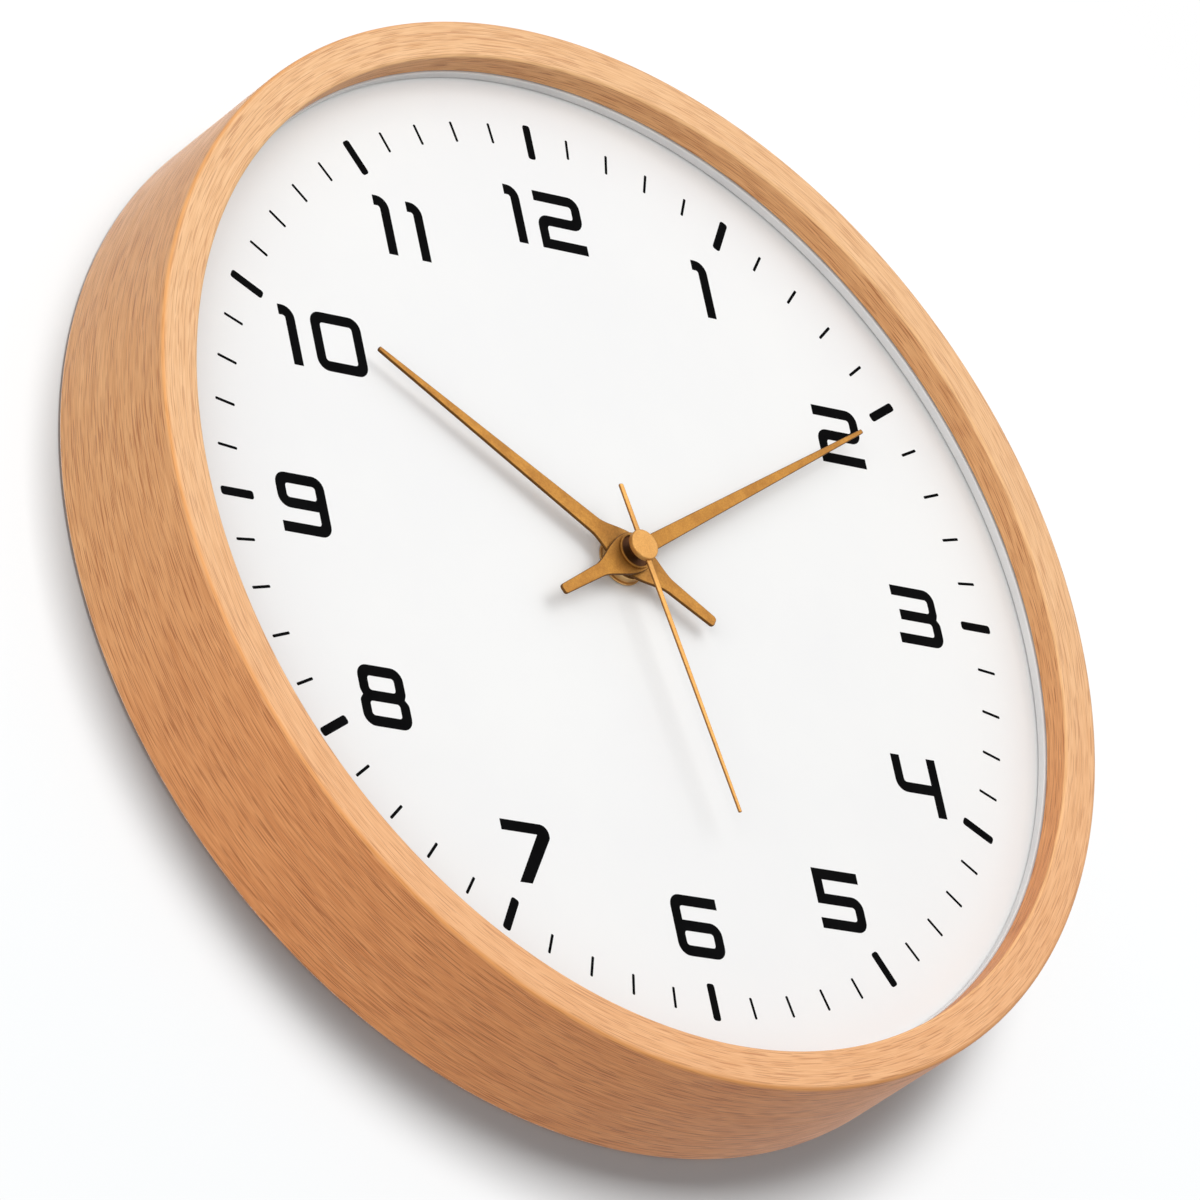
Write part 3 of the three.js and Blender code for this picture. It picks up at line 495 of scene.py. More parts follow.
def new_group(name, inputs, outputs):
    """A shader node group with named sockets, given as name: kind."""
    tree = bpy.data.node_groups.new(name, "ShaderNodeTree")
    kinds = {"vector": "NodeSocketVector", "value": "NodeSocketFloat", "colour": "NodeSocketColor"}
    for key, kind in inputs.items():
        tree.interface.new_socket(name=key, in_out="INPUT", socket_type=kinds[kind])
    for key, kind in outputs.items():
        tree.interface.new_socket(name=key, in_out="OUTPUT", socket_type=kinds[kind])
    entry = tree.nodes.new("NodeGroupInput")
    leave = tree.nodes.new("NodeGroupOutput")
    return tree, entry.outputs, leave.inputs


def tone_group():
    """Two colours blended by soft noise."""
    tree, entry, leave = new_group(
        "soft_tone",
        {"Vector": "vector", "Scale": "value", "First": "colour", "Second": "colour"},
        {"Color": "colour"},
    )
    noise = {"Vector": entry["Vector"], "Scale": entry["Scale"], "Detail": 4.0, "Roughness": 0.6}
    noise = add_node(tree, "ShaderNodeTexNoise", noise).outputs[0]
    share = between(tree, noise, 0.3, 0.7, smooth=True)
    tree.links.new(mixed(tree, share, entry["First"], entry["Second"]), leave["Color"])
    return tree


def noise_to_value(tree, noise, entry, leave):
    """Puts noise out as a value between the group's two limits, and as a height."""
    tree.links.new(between(tree, noise, 0.25, 0.75, entry["Low"], entry["High"]), leave["Value"])
    tree.links.new(noise, leave["Height"])
    return tree


def skin_group():
    """Fine noise for a moulded, cast or painted skin: a value between two limits, and a height."""
    tree, entry, leave = new_group(
        "fine_skin",
        {"Vector": "vector", "Scale": "value", "Low": "value", "High": "value"},
        {"Value": "value", "Height": "value"},
    )
    noise = {"Vector": entry["Vector"], "Scale": entry["Scale"], "Detail": 3.0, "Roughness": 0.55}
    noise = add_node(tree, "ShaderNodeTexNoise", noise).outputs[0]
    return noise_to_value(tree, noise, entry, leave)


def lathe_group():
    """Fine rings about the hands' axis, from noise on the distance to it."""
    tree, entry, leave = new_group(
        "lathe_marks",
        {"Vector": "vector", "Pitch": "value", "Low": "value", "High": "value"},
        {"Value": "value", "Height": "value"},
    )
    rings = reckon(tree, "MULTIPLY", from_axis(tree, entry["Vector"]), entry["Pitch"])
    noise = {"W": rings, "Scale": 1.0, "Detail": 2.0}
    noise = add_node(tree, "ShaderNodeTexNoise", noise, noise_dimensions="1D").outputs[0]
    return noise_to_value(tree, noise, entry, leave)


soft_tone = tone_group()
fine_skin = skin_group()
lathe_marks = lathe_group()


# Finishes, with their colours as a picture shows them
def new_finish(name, **shader_values):
    """A material with its Principled shader, and the place on the piece that patterns read."""
    material = bpy.data.materials.new(name)
    tree = empty_tree(material)
    shader = add_node(tree, "ShaderNodeBsdfPrincipled", shader_values)
    add_node(tree, "ShaderNodeOutputMaterial", {"Surface": shader.outputs[0]})
    place = add_node(tree, "ShaderNodeTexCoord").outputs["Object"]
    return material, tree, shader.inputs, place


def toned(tree, place, scale, first, second):
    """Two near colours blended by soft noise."""
    inputs = {"Vector": place, "Scale": scale, "First": rgb(*first), "Second": rgb(*second)}
    return use_group(tree, soft_tone, inputs)["Color"]


def roughen(tree, shader, place, group, rate, roughness, depth):
    """Fine marks of a group in the shader's roughness and on its surface. The rate, a scale or a
    pitch, is the group's second input. The marks' height comes back."""
    low, high = roughness
    inputs = {"Vector": place, 1: rate, "Low": low, "High": high}
    marks = use_group(tree, group, inputs)
    tree.links.new(marks["Value"], shader["Roughness"])
    raise_by(tree, shader, marks["Height"], depth)
    return marks["Height"]


def raise_by(tree, shader, height, depth, strength=1.0):
    """Tilts the shader's normals as if the surface rose by a height times a depth."""
    inputs = {"Height": height, "Distance": depth, "Strength": strength}
    tree.links.new(add_node(tree, "ShaderNodeBump", inputs).outputs[0], shader["Normal"])


def skinned(name, first, second, roughness, tone=60.0, grain=3000.0, depth=0.02, **shader_values):
    """A finish of two near colours, with fine noise in its roughness and its surface. The depth
    of that noise is in millimetres."""
    material, tree, shader, place = new_finish(name, **shader_values)
    tree.links.new(toned(tree, place, tone, first, second), shader["Base Color"])
    roughen(tree, shader, place, fine_skin, grain, roughness, depth * MM)
    return material


def lathe_turned(name, first, second, roughness, pitch=4000.0, **shader_values):
    """A metal finish with the rings that a lathe leaves."""
    material, tree, shader, place = new_finish(name, **shader_values)
    tree.links.new(toned(tree, place, 250.0, first, second), shader["Base Color"])
    roughen(tree, shader, place, lathe_marks, pitch, roughness, depth=0.01 * MM)
    return material


def bent_beech():
    """Beech bent into a ring. Noise in four dimensions reads x and z at a low rate, which runs
    round the ring, and the radius and y at a high rate, which run across the grain. A slow noise
    shifts the radius and y, so that the fibres sway."""
    material, tree, shader, place = new_finish("bent_beech", **{"Specular IOR Level": 0.3})
    split = add_node(tree, "ShaderNodeSeparateXYZ", {0: place}).outputs
    slow = {"Vector": place, "Scale": 22.0, "Detail": 2.0, "Roughness": 0.45}
    slow = add_node(tree, "ShaderNodeTexNoise", slow).outputs[0]
    sway = reckon(tree, "MULTIPLY", reckon(tree, "SUBTRACT", slow, 0.5), FIBRE_SWAY)
    cross = [reckon(tree, "ADD", source, sway) for source in (from_axis(tree, place), split["Y"])]

    def grain(along, across, detail, seed=0.0):
        """Noise at one rate along the fibres and another across them. The seed moves it."""
        x, z = (reckon(tree, "MULTIPLY", split[axis], along) for axis in ("X", "Z"))
        r, y = (reckon(tree, "MULTIPLY", source, across) for source in cross)
        vector = add_node(tree, "ShaderNodeCombineXYZ", {0: x, 1: z, 2: r}).outputs[0]
        shifted = reckon(tree, "ADD", y, seed)
        inputs = {"Vector": vector, "W": shifted, "Scale": 1.0, "Detail": detail, "Roughness": 0.55}
        return add_node(tree, "ShaderNodeTexNoise", inputs, noise_dimensions="4D").outputs[0]

    clouds = grain(along=60.0, across=170.0, detail=3.0)
    growth = grain(along=9.0, across=420.0, detail=3.0)
    streak = grain(along=42.0, across=2800.0, detail=2.0)
    fibre = grain(along=130.0, across=5000.0, detail=1.0)
    pores = grain(along=115.0, across=4600.0, detail=0.0, seed=40.0)
    tone = 0.5
    for source, weight in ((clouds, 0.4), (growth, 0.3), (streak, 0.45), (fibre, 1.3)):
        lift = reckon(tree, "MULTIPLY", reckon(tree, "SUBTRACT", source, 0.5), weight)
        tone = reckon(tree, "ADD", lift, tone)
    tone = between(tree, tone, 0.0, 1.0)
    # Painted sheen: the front face gets paler colours than the side, as if the lamps' sheen lay on it,
    # over the wood's own tone
    side = mixed(tree, tone, rgb(250, 194, 136), rgb(200, 132, 78))
    front = mixed(tree, tone, rgb(252, 207, 158), rgb(222, 164, 110))
    face = painted(tree, "face")
    colour = mixed(tree, face, side, front)
    # Painted shade: the wood darker towards the bottom, half as much on the front face
    low = between(tree, split["Z"], LOWER_SHADE_FROM, LOWER_SHADE_TO, smooth=True)
    low = reckon(tree, "MULTIPLY", low, between(tree, face, 0.0, 1.0, 1.0, 0.5))
    lower_shade = (1.0, 0.80, 0.68, 1.0)
    colour = mixed(tree, low, colour, lower_shade, "MULTIPLY")
    pores = between(tree, pores, 0.57, 0.67, smooth=True)
    dark = reckon(tree, "MULTIPLY", pores, between(tree, face, 0.0, 1.0, 0.7, 0.42))
    colour = mixed(tree, dark, colour, rgb(168, 98, 54))
    # Painted highlights along the outer and the inner rounded front edge
    for name, share, highlight_tint in (("edge", 0.65, rgb(240, 164, 88)), ("lip", 0.5, rgb(255, 206, 146))):
        colour = mixed(tree, reckon(tree, "MULTIPLY", painted(tree, name), share), colour, highlight_tint)
    tree.links.new(colour, shader["Base Color"])
    tree.links.new(between(tree, streak, 0.3, 0.7, 0.42, 0.56), shader["Roughness"])
    height = reckon(tree, "SUBTRACT", reckon(tree, "MULTIPLY", fibre, 0.5), pores)
    raise_by(tree, shader, height, 0.05 * MM, strength=0.6)
    return material


def aged_gold(name, light, deep, dark, roughness):
    """Satin copper gold with darker specks. The number called rim is one on the edges, where
    painted shade darkens it, as it does towards the collars on the axis."""
    material, tree, shader, place = new_finish(name, Metallic=0.75)
    dark = rgb(*dark)
    colour = toned(tree, place, 220.0, light, deep)
    # Painted shade on the edges, where the number called rim is one
    colour = mixed(tree, reckon(tree, "MULTIPLY", painted(tree, "rim"), 0.7), colour, dark)
    height = roughen(tree, shader, place, fine_skin, 2200.0, roughness, depth=0.015 * MM)
    colour = mixed(tree, between(tree, height, 0.35, 0.65, 0.0, 0.2), colour, dark)
    radius = from_axis(tree, place)
    # Painted shade towards the collars on the axis
    shade_near_axis = between(tree, radius, COLLAR_SHADE_START, COLLAR_SHADE_END, COLLAR_SHADE, 0.0, smooth=True)
    tree.links.new(mixed(tree, shade_near_axis, colour, dark), shader["Base Color"])
    return material


def cell_wrap():
    """The cell's printed film, blue with a pale band towards the button, and the bare steel of
    its ends, where the number called steel is one."""
    material, tree, shader, place = new_finish("cell_jacket")
    blue = toned(tree, place, 60.0, (52, 78, 104), (44, 68, 92))
    band = toned(tree, place, 90.0, (206, 209, 211), (190, 194, 197))
    along = add_node(tree, "ShaderNodeSeparateXYZ", {0: place}).outputs["X"]
    edge = float(cell_high[0]) - CELL_BAND
    colour = mixed(tree, between(tree, along, edge, edge + CELL_BAND_BLUR), blue, band)
    steel = painted(tree, "steel")
    colour = mixed(tree, steel, colour, rgb(188, 190, 192))
    tree.links.new(colour, shader["Base Color"])
    tree.links.new(between(tree, steel, 0.0, 1.0, 0.3, 1.0), shader["Metallic"])
    roughen(tree, shader, place, fine_skin, 900.0, (0.26, 0.36), depth=0.01 * MM)
    return material


METAL = {"Metallic": 1.0}
DIAL_DULL = {"Specular IOR Level": 0.25}
INK_DULL = {"Specular IOR Level": 0.02}

wood = bent_beech()
dial_white = skinned(
    "dial_white", (243, 243, 243), (246, 246, 245), (0.5, 0.62), 12.0, 2400.0, 0.008, **DIAL_DULL
)
white_plastic = skinned("white_plastic", (222, 222, 222), (230, 230, 229), (0.4, 0.5), 40.0, 1800.0)
ink_black = skinned("ink_black", (7, 7, 8), (13, 13, 14), (0.75, 0.9), 90.0, 2600.0, 0.01, **INK_DULL)
hand_gold = aged_gold("hand_gold", (181, 128, 53), (163, 111, 43), (64, 36, 13), (0.46, 0.58))
cap_gold = aged_gold("cap_gold", (220, 165, 90), (211, 155, 81), (108, 68, 30), (0.42, 0.52))
# Dark gold for the recess floor and the needle's neck: painted shade under the cap
recess_shade_gold = aged_gold("recess_shade_gold", (108, 66, 28), (88, 50, 20), (74, 42, 16), (0.5, 0.62))
pale_brass = lathe_turned("pale_brass", (230, 192, 134), (214, 172, 112), (0.36, 0.48), Metallic=0.85)
zinc_steel = skinned("zinc_steel", (186, 188, 190), (166, 169, 172), (0.3, 0.46), 90.0, 900.0, **METAL)
bright_steel = skinned(
    "bright_steel", (196, 197, 198), (180, 181, 183), (0.24, 0.36), 120.0, 1200.0, **METAL
)
black_plastic = skinned("black_plastic", (27, 27, 28), (34, 34, 35), (0.42, 0.58), 60.0, 2600.0, 0.03)
natural_plastic = skinned("natural_plastic", (236, 231, 216), (228, 222, 204), (0.36, 0.48), 90.0, 2200.0)
black_rubber = skinned("black_rubber", (30, 30, 30), (40, 40, 39), (0.75, 0.9), 120.0, 1800.0, 0.05)
soft_iron = skinned("soft_iron", (132, 136, 140), (112, 116, 121), (0.34, 0.5), 150.0, 1400.0, **METAL)
magnet_grey = skinned("magnet_grey", (66, 67, 71), (54, 55, 59), (0.45, 0.6), 200.0, 2400.0, Metallic=0.6)
copper_wire = skinned("copper_wire", (184, 96, 48), (158, 78, 36), (0.25, 0.4), 300.0, 3200.0, **METAL)
board_green = skinned("board_green", (40, 104, 66), (32, 88, 54), (0.35, 0.5), 200.0, 2600.0)
epoxy_black = skinned("epoxy_black", (18, 18, 19), (24, 24, 25), (0.25, 0.4), 200.0, 900.0)
cell_jacket = cell_wrap()


# Wooden ring
def wooden_ring():
    """The section of the ring turned about the axis, with the front edges and the back edge as
    arcs. The numbers called edge and lip are one in the middle of the outer and of the inner
    front arc, where the wood gets painted highlights. The number called face is the share of
    the surface's direction that looks to the front, where the wood gets the paler colours of
    painted sheen."""
    front, back = frame_low[1], frame_high[1]
    section = [
        (OPENING_RADIUS, front),
        (FRAME_RADIUS, front),
        (FRAME_RADIUS, back),
        (REBATE_RADIUS, back),
        (REBATE_RADIUS, front + LIP_DEPTH),
        (OPENING_RADIUS, front + LIP_DEPTH),
    ]
    rounds = [INNER_ROUND, OUTER_ROUND, BACK_ROUND, REBATE_ROUND, 0, LIP_ROUND]
    profile = round_corners(section, rounds, steps=10)
    piece = make_piece("wooden_ring", turned(profile, RING_SEGMENTS), wood, "clock")
    for label, bend, middle, way in (
        ("edge", OUTER_ROUND, FRAME_RADIUS - OUTER_ROUND, 1),
        ("lip", INNER_ROUND, OPENING_RADIUS + INNER_ROUND, -1),
    ):
        offset = profile - (middle, front + bend)
        lean = np.arctan2(-offset[:, 1], way * offset[:, 0])
        on_arc = np.abs(np.linalg.norm(offset, axis=1) - bend) < ON_LINE
        # Painted highlight, strongest at its angle on the arc
        edge_highlight = np.exp(-(((lean - HIGHLIGHT_ANGLE) / HIGHLIGHT_SPREAD) ** 2))
        paint(piece, label, np.repeat(np.where(on_arc, edge_highlight, 0), RING_SEGMENTS))
    along = np.roll(profile, -1, axis=0) - np.roll(profile, 1, axis=0)
    face = np.clip(along[:, 0] / np.linalg.norm(along, axis=1), 0, 1)
    paint(piece, "face", np.repeat(face, RING_SEGMENTS))
    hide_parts("wood_frame")


# Dial
def ring_section(inner, outer, front, back, bend, steps):
    """A rectangle of (radius, y) with rounded corners."""
    section = [(inner, front), (outer, front), (outer, back), (inner, back)]
    return round_corners(section, [bend] * 4, steps)


def dial_parts():
    """The white ring under the lip and the dial's disc, both turned, with rounded edges."""
    inner = OPENING_RADIUS - SPACER_OVERLAP
    profile = ring_section(inner, spacer_high[0], spacer_low[1], spacer_high[1], SPACER_ROUND, steps=4)
    ring = make_piece("white_spacer", turned(profile, RING_SEGMENTS), white_plastic, "clock")
    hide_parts("spacer_ring")
    profile = ring_section(BUSH_BORE, dial_high[0], dial_low[1], dial_high[1], DIAL_EDGE, steps=3)
    disc = make_piece("dial_disc", turned(profile, DIAL_SEGMENTS), dial_white, "clock")
    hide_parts("dial_plate")


def mark(shape, degrees):
    """A rounded bar that points at the axis, at its place round the dial."""
    half, reach = shape["width"] / 2, shape["length"] / 2
    middle = shape["middle"]
    bar = [
        (-half, middle - reach),
        (half, middle - reach),
        (half, middle + reach),
        (-half, middle + reach),
    ]
    return clockwise(round_corners(bar, [shape["corner"]] * 4, steps=3), degrees)


def printed(name, outlines):
    """Ink on the dial: thin flat bodies on its face, one for each list of outlines."""
    face = dial_low[1]
    surface = together([slab(loops, face - INK, face) for loops in outlines])
    return make_piece(name, surface, ink_black, "clock", weighted=False)


def numeral_outlines(digit):
    """The outlines of a digit, from its lower left corner, as corners (x, z, radius). Its width,
    height and stroke are w, h and s, and its outer and inner corners are bent by o and i."""
    w, h, s = NUMERAL_WIDTH, NUMERAL_HEIGHT, STROKE
    o, i = OUTER_BEND, INNER_BEND
    middle = h / 2
    low, high = middle - s / 2, middle + s / 2
    notch, dent, lobe = 1.4 * MM, 0.9 * MM, 1.8 * MM

    def frame_of(left, bottom, right, top, bend):
        """A rectangle whose corners have the same bend."""
        return [(left, bottom, bend), (right, bottom, bend), (right, top, bend), (left, top, bend)]

    if digit == 0:
        return [frame_of(0, 0, ZERO_WIDTH, h, o), frame_of(s, s, ZERO_WIDTH - s, h - s, i)]
    if digit == 1:
        shoulder, crook = 3.6 * MM, 0.8 * MM
        left, right = ONE_WIDTH - s, ONE_WIDTH
        top = [(0, h - s, 0), (0, h, 0), (right, h, shoulder)]
        return [top + [(right, 0, 0), (left, 0, 0), (left, h - s, crook)]]
    if digit == 2:
        upper = [(0, h, 0), (w, h, o), (w, low, o), (s, low, i), (s, s, 0), (w, s, 0)]
        lower = [(w, 0, 0), (0, 0, 0), (0, high, o), (w - s, high, i), (w - s, h - s, i)]
        return [upper + lower + [(0, h - s, 0)]]
    if digit == 3:
        tongue = 1.7 * MM
        upper = w - 0.4 * MM
        right = [(0, h, 0), (upper, h, o), (upper, middle + notch, lobe), (w - dent, middle, 0)]
        right += [(w, middle - notch, lobe), (w, 0, o), (0, 0, 0)]
        left = [(0, s, 0), (w - s, s, i), (w - s, low, i), (tongue, low, 0), (tongue, high, 0)]
        return [right + left + [(w - s, high, i), (w - s, h - s, i), (0, h - s, 0)]]
    if digit == 4:
        bar = 7.8 * MM
        left = [(0, h, 0), (s, h, 0), (s, bar + s / 2, i), (w - s, bar + s / 2, 0)]
        right = [(w - s, h, 0), (w, h, 0), (w, 0, 0), (w - s, 0, 0), (w - s, bar - s / 2, 0)]
        return [left + right + [(0, bar - s / 2, o)]]
    if digit == 5:
        upper = [(0, h, 0), (w, h, 0), (w, h - s, 0), (s, h - s, 0), (s, high, 0), (w, high, o)]
        lower = [(w, 0, o), (0, 0, 0), (0, s, 0), (w - s, s, i), (w - s, low, i), (0, low, 0)]
        return [upper + lower]
    if digit == 7:
        shoulder, elbow, drop = 2.6 * MM, 1.5 * MM, 3.6 * MM
        heel, toe, crook = 2.6 * MM, 6.6 * MM, 11.4 * MM
        top = [(0, h, 0), (w, h, shoulder), (w, h - drop, elbow)]
        return [top + [(toe, 0, 0), (heel, 0, 0), (crook, h - s, 0), (0, h - s, 0)]]
    if digit == 8:
        thin = 0.5 * MM
        waist = 1.1 * MM
        upper = [(thin, h, o), (w - thin, h, o), (w - thin, middle + notch, lobe)]
        lower = [(w - waist, middle, 0), (w, middle - notch, lobe), (w, 0, o), (0, 0, o)]
        left = [(0, middle - notch, lobe), (waist, middle, 0), (thin, middle + notch, lobe)]
        holes = [frame_of(s + thin, high, w - s - thin, h - s, i), frame_of(s, s, w - s, low, i)]
        return [upper + lower + left] + holes
    six = [(w, h, 0), (0, h, o), (0, 0, o), (w, 0, o), (w, high, o), (s, high, 0), (s, h - s, i)]
    outlines = [six + [(w, h - s, 0)], frame_of(s, s, w - s, low, i)]
    if digit == 9:
        outlines = [[(w - x, h - z, bend) for x, z, bend in loop] for loop in outlines]
    return outlines


def numeral(number):
    """The outlines of a number, upright, with its middle on its ray from the axis."""
    digits = [int(digit) for digit in str(number)]
    widths = {0: ZERO_WIDTH, 1: ONE_WIDTH}
    gap = ONES_GAP if digits == [1, 1] else NUMERAL_GAP
    spans = [widths.get(digit, NUMERAL_WIDTH) for digit in digits]
    left = -(sum(spans) + gap * (len(spans) - 1)) / 2
    ray = math.radians(number * 360 * MARKS_PER_HOUR / MARK_COUNT)
    radius = NUMERAL_RADIUS - NUMERAL_INSET.get(number, 0)
    centre = np.array([radius * math.sin(ray), radius * math.cos(ray) - NUMERAL_HEIGHT / 2])
    made = []
    for digit, span in zip(digits, spans):
        loops = [np.array(loop) for loop in numeral_outlines(digit)]
        made.append(
            [round_corners(loop[:, :2], loop[:, 2]) + centre + (left, 0) for loop in loops]
        )
        left += span + gap
    return made


def print_dial():
    """The marks of the minutes and of the hours, and the numerals."""
    turns = [place * 360 / MARK_COUNT for place in range(MARK_COUNT)]
    hours = turns[::MARKS_PER_HOUR]
    printed("minute_marks", [[mark(MINUTE_MARK, turn)] for turn in turns if turn not in hours])
    printed("hour_marks", [[mark(HOUR_MARK, turn)] for turn in hours])
    numbers = range(1, len(hours) + 1)
    printed("numerals", [loops for number in numbers for loops in numeral(number)])


# Hands
def half_width(blade, along, forward):
    """A straight taper (root + (end - root) s / reach) / 2 that swells into the hub by
    (1 - (s / flare)^2)^2 of what the hub lacks, at a distance s from the axis."""
    keys = FRONT_KEYS if forward else TAIL_KEYS
    reach, root, end, flare = (blade[key] for key in keys)
    taper = (root + (end - root) * along / reach) / 2
    swell = np.maximum(0, 1 - (along / flare) ** 2) ** 2
    return taper + (blade["hub"] - taper) * swell


def hand_outline(blade, degrees):
    """The outline of a hand from half_width on both sides of its line, with rounded ends."""
    halves = []
    for forward, keys in ((True, FRONT_KEYS), (False, TAIL_KEYS)):
        reach, _, end, flare = (blade[key] for key in keys)
        corner = end * END_CORNER
        near = np.linspace(0, flare, FLARE_STEPS)
        far = np.linspace(flare, reach - corner, BLADE_STEPS)[1:]
        along = np.concatenate([near, far])
        width = half_width(blade, along, forward)
        turn = np.linspace(0, np.pi / 2, END_STEPS + 1)[1:]
        tip = half_width(blade, reach, forward)
        bend = np.stack(
            [tip - corner * (1 - np.cos(turn)), reach - corner * (1 - np.sin(turn))], axis=-1
        )
        half = np.concatenate([np.stack([width, along], axis=-1), bend])
        halves.append(half if forward else half * (1, -1))
    front, tail = halves
    right = np.concatenate([tail[:0:-1], front])
    outline = np.concatenate([right, right[::-1] * (-1, 1)])
    return clockwise(outline, degrees)


def blade_piece(name, blade, degrees, bore, front, sheet, edge, finish, body, node):
    """A stamped hand that points at its place on the dial."""
    surface, rim = stamped(hand_outline(blade, degrees), bore, front, front + sheet, edge)
    piece = make_piece(name, surface, finish, body)
    paint(piece, "rim", rim)
    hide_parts(node)


def disc_piece(name, inner, outer, front, back, edge, finish, body, slot, node=None):
    """A turned disc or ring with rounded outer edges. Without an inner radius it is solid."""
    outer_side = [(outer, front), (outer, back)]
    bends = [edge, edge]
    if inner:
        section = [(inner, front), *outer_side, (inner, back)]
        profile = round_corners(section, [0, *bends, 0], steps=5)
    else:
        section = [(0, back), (0, front), *outer_side]
        profile = round_corners(section, [0, 0, *bends], steps=5)
        profile = np.concatenate([profile[1:], profile[:1]])
    piece = make_piece(name, turned(profile, HUB_SEGMENTS), finish, body)
    paint(piece, "rim", np.zeros(len(piece.data.vertices)))
    if node:
        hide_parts(node)


def blades():
    """The three stamped hands. The hour hand's sheet is in front of its collar, the minute hand's
    is behind its collar, and the needle runs through the cap."""
    needle_front = cap_high[1] - NEEDLE_LIFT - NEEDLE_SHEET
    minute_front = minute_high[1] - HAND_SHEET
    hour = (HOUR_BORE, hour_low[1], HAND_SHEET, HAND_EDGE, hand_gold)
    minute = (MINUTE_BORE, minute_front, HAND_SHEET, HAND_EDGE, hand_gold)
    needle = (SHAFT_BORE, needle_front, NEEDLE_SHEET, NEEDLE_EDGE, cap_gold)
    blade_piece("hour_blade", HOUR_BLADE, HOUR_ANGLE, *hour, "hour", "hour_hand")
    blade_piece("minute_blade", MINUTE_BLADE, MINUTE_ANGLE, *minute, "minute", "minute_hand")
    blade_piece("needle", NEEDLE, SECOND_ANGLE, *needle, "second", "second_hand")


def hub_discs():
    """The collars on the hands, the floor of the minute collar's recess and the needle's neck,
    both dark gold as painted shade, the needle's cap, and the nut and washer that clamp the
    movement."""
    hour_back = hour_low[1] + HAND_SHEET
    floor = minute_high[1] - HAND_SHEET
    rim = MINUTE_COLLAR_RADIUS - MINUTE_RIM
    neck_front = cap_high[1] + NECK_GAP
    hour = (HOUR_BORE, HOUR_COLLAR_RADIUS, hour_back, hour_high[1], COLLAR_EDGE, hand_gold)
    minute = (rim, MINUTE_COLLAR_RADIUS, minute_low[1], floor, COLLAR_EDGE, hand_gold)
    # The recess floor and the neck are dark gold as painted shade under the cap
    recess = (MINUTE_BORE, rim, floor - INK, floor, RECESS_EDGE, recess_shade_gold)
    neck = (SHAFT_BORE, NECK_RADIUS, neck_front, needle_high[1], COLLAR_EDGE, recess_shade_gold)
    cap = (0, cap_high[0], cap_low[1], cap_high[1], CAP_EDGE, cap_gold)
    nut = (BUSH_BORE, nut_high[0], nut_low[1], nut_high[1], NUT_EDGE, pale_brass)
    washer = (BUSH_BORE, washer_high[0], washer_low[1], washer_high[1], WASHER_EDGE, pale_brass)
    disc_piece("hour_collar", *hour, "hour", "copper_gold")
    disc_piece("minute_collar", *minute, "minute", "copper_gold")
    disc_piece("minute_recess", *recess, "minute", "copper_gold")
    disc_piece("needle_neck", *neck, "second", "copper_gold")
    disc_piece("cap_disc", *cap, "second", "copper_gold", "second_cap")
    disc_piece("clamp_nut", *nut, "clock", "pale_brass", "round_nut")
    disc_piece("clamp_washer", *washer, "clock", "pale_brass", "brass_washer")


# Back
CLIPS = ["dial_clip_1", "dial_clip_2", "dial_clip_3", "dial_clip_4"]
SCREWS = ["clip_screw_1", "clip_screw_2", "clip_screw_3", "clip_screw_4"]
SCREWS += ["hanger_screw_1", "hanger_screw_2"]
ROUNDED_NODES = [
    (["movement_case", "movement_cover"], CASE_ROUND, black_plastic, "clock", "black_plastic"),
    (["setting_knob"], SCREW_ROUND, black_plastic, "setting", "black_plastic"),
    ([*CLIPS, "hanger_bracket"], SHEET_ROUND, zinc_steel, "clock", "zinc_steel"),
    (SCREWS, SCREW_ROUND, bright_steel, "clock", "bright_steel"),
    (["positive_contact", "negative_contact"], LEAF_ROUND, bright_steel, "clock", "bright_steel"),
    (["threaded_bush"], SCREW_ROUND, pale_brass, "clock", "pale_brass"),
    (["rubber_washer"], SCREW_ROUND, black_rubber, "clock", "black_rubber"),
]


def rounded_copy(node, edge, material, body, slot):
    """A piece of the construction with rounded edges: a copy of its mesh, its doubled points
    merged and its flat neighbours joined, under a Bevel modifier."""
    form = bmesh.new()
    form.from_mesh(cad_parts[node].data)
    bmesh.ops.remove_doubles(form, verts=form.verts, dist=ONE_POINT)
    bmesh.ops.dissolve_limit(form, angle_limit=FLAT_ANGLE, verts=form.verts, edges=form.edges)
    mesh = bpy.data.meshes.new(node + "_rounded")
    form.to_mesh(mesh)
    form.free()
    mesh.materials.clear()
    mesh.materials.append(material)
    mesh.polygons.foreach_set("material_index", np.zeros(len(mesh.polygons), int))
    piece = smooth_object(node + "_rounded", mesh)
    bevel = piece.modifiers.new("rounded_edges", "BEVEL")
    bevel.width = edge
    bevel.segments = 2
    bevel.limit_method = "ANGLE"
    bevel.angle_limit = BEVEL_ANGLE
    keep_flat(piece)
    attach(piece, body)
    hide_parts(node)


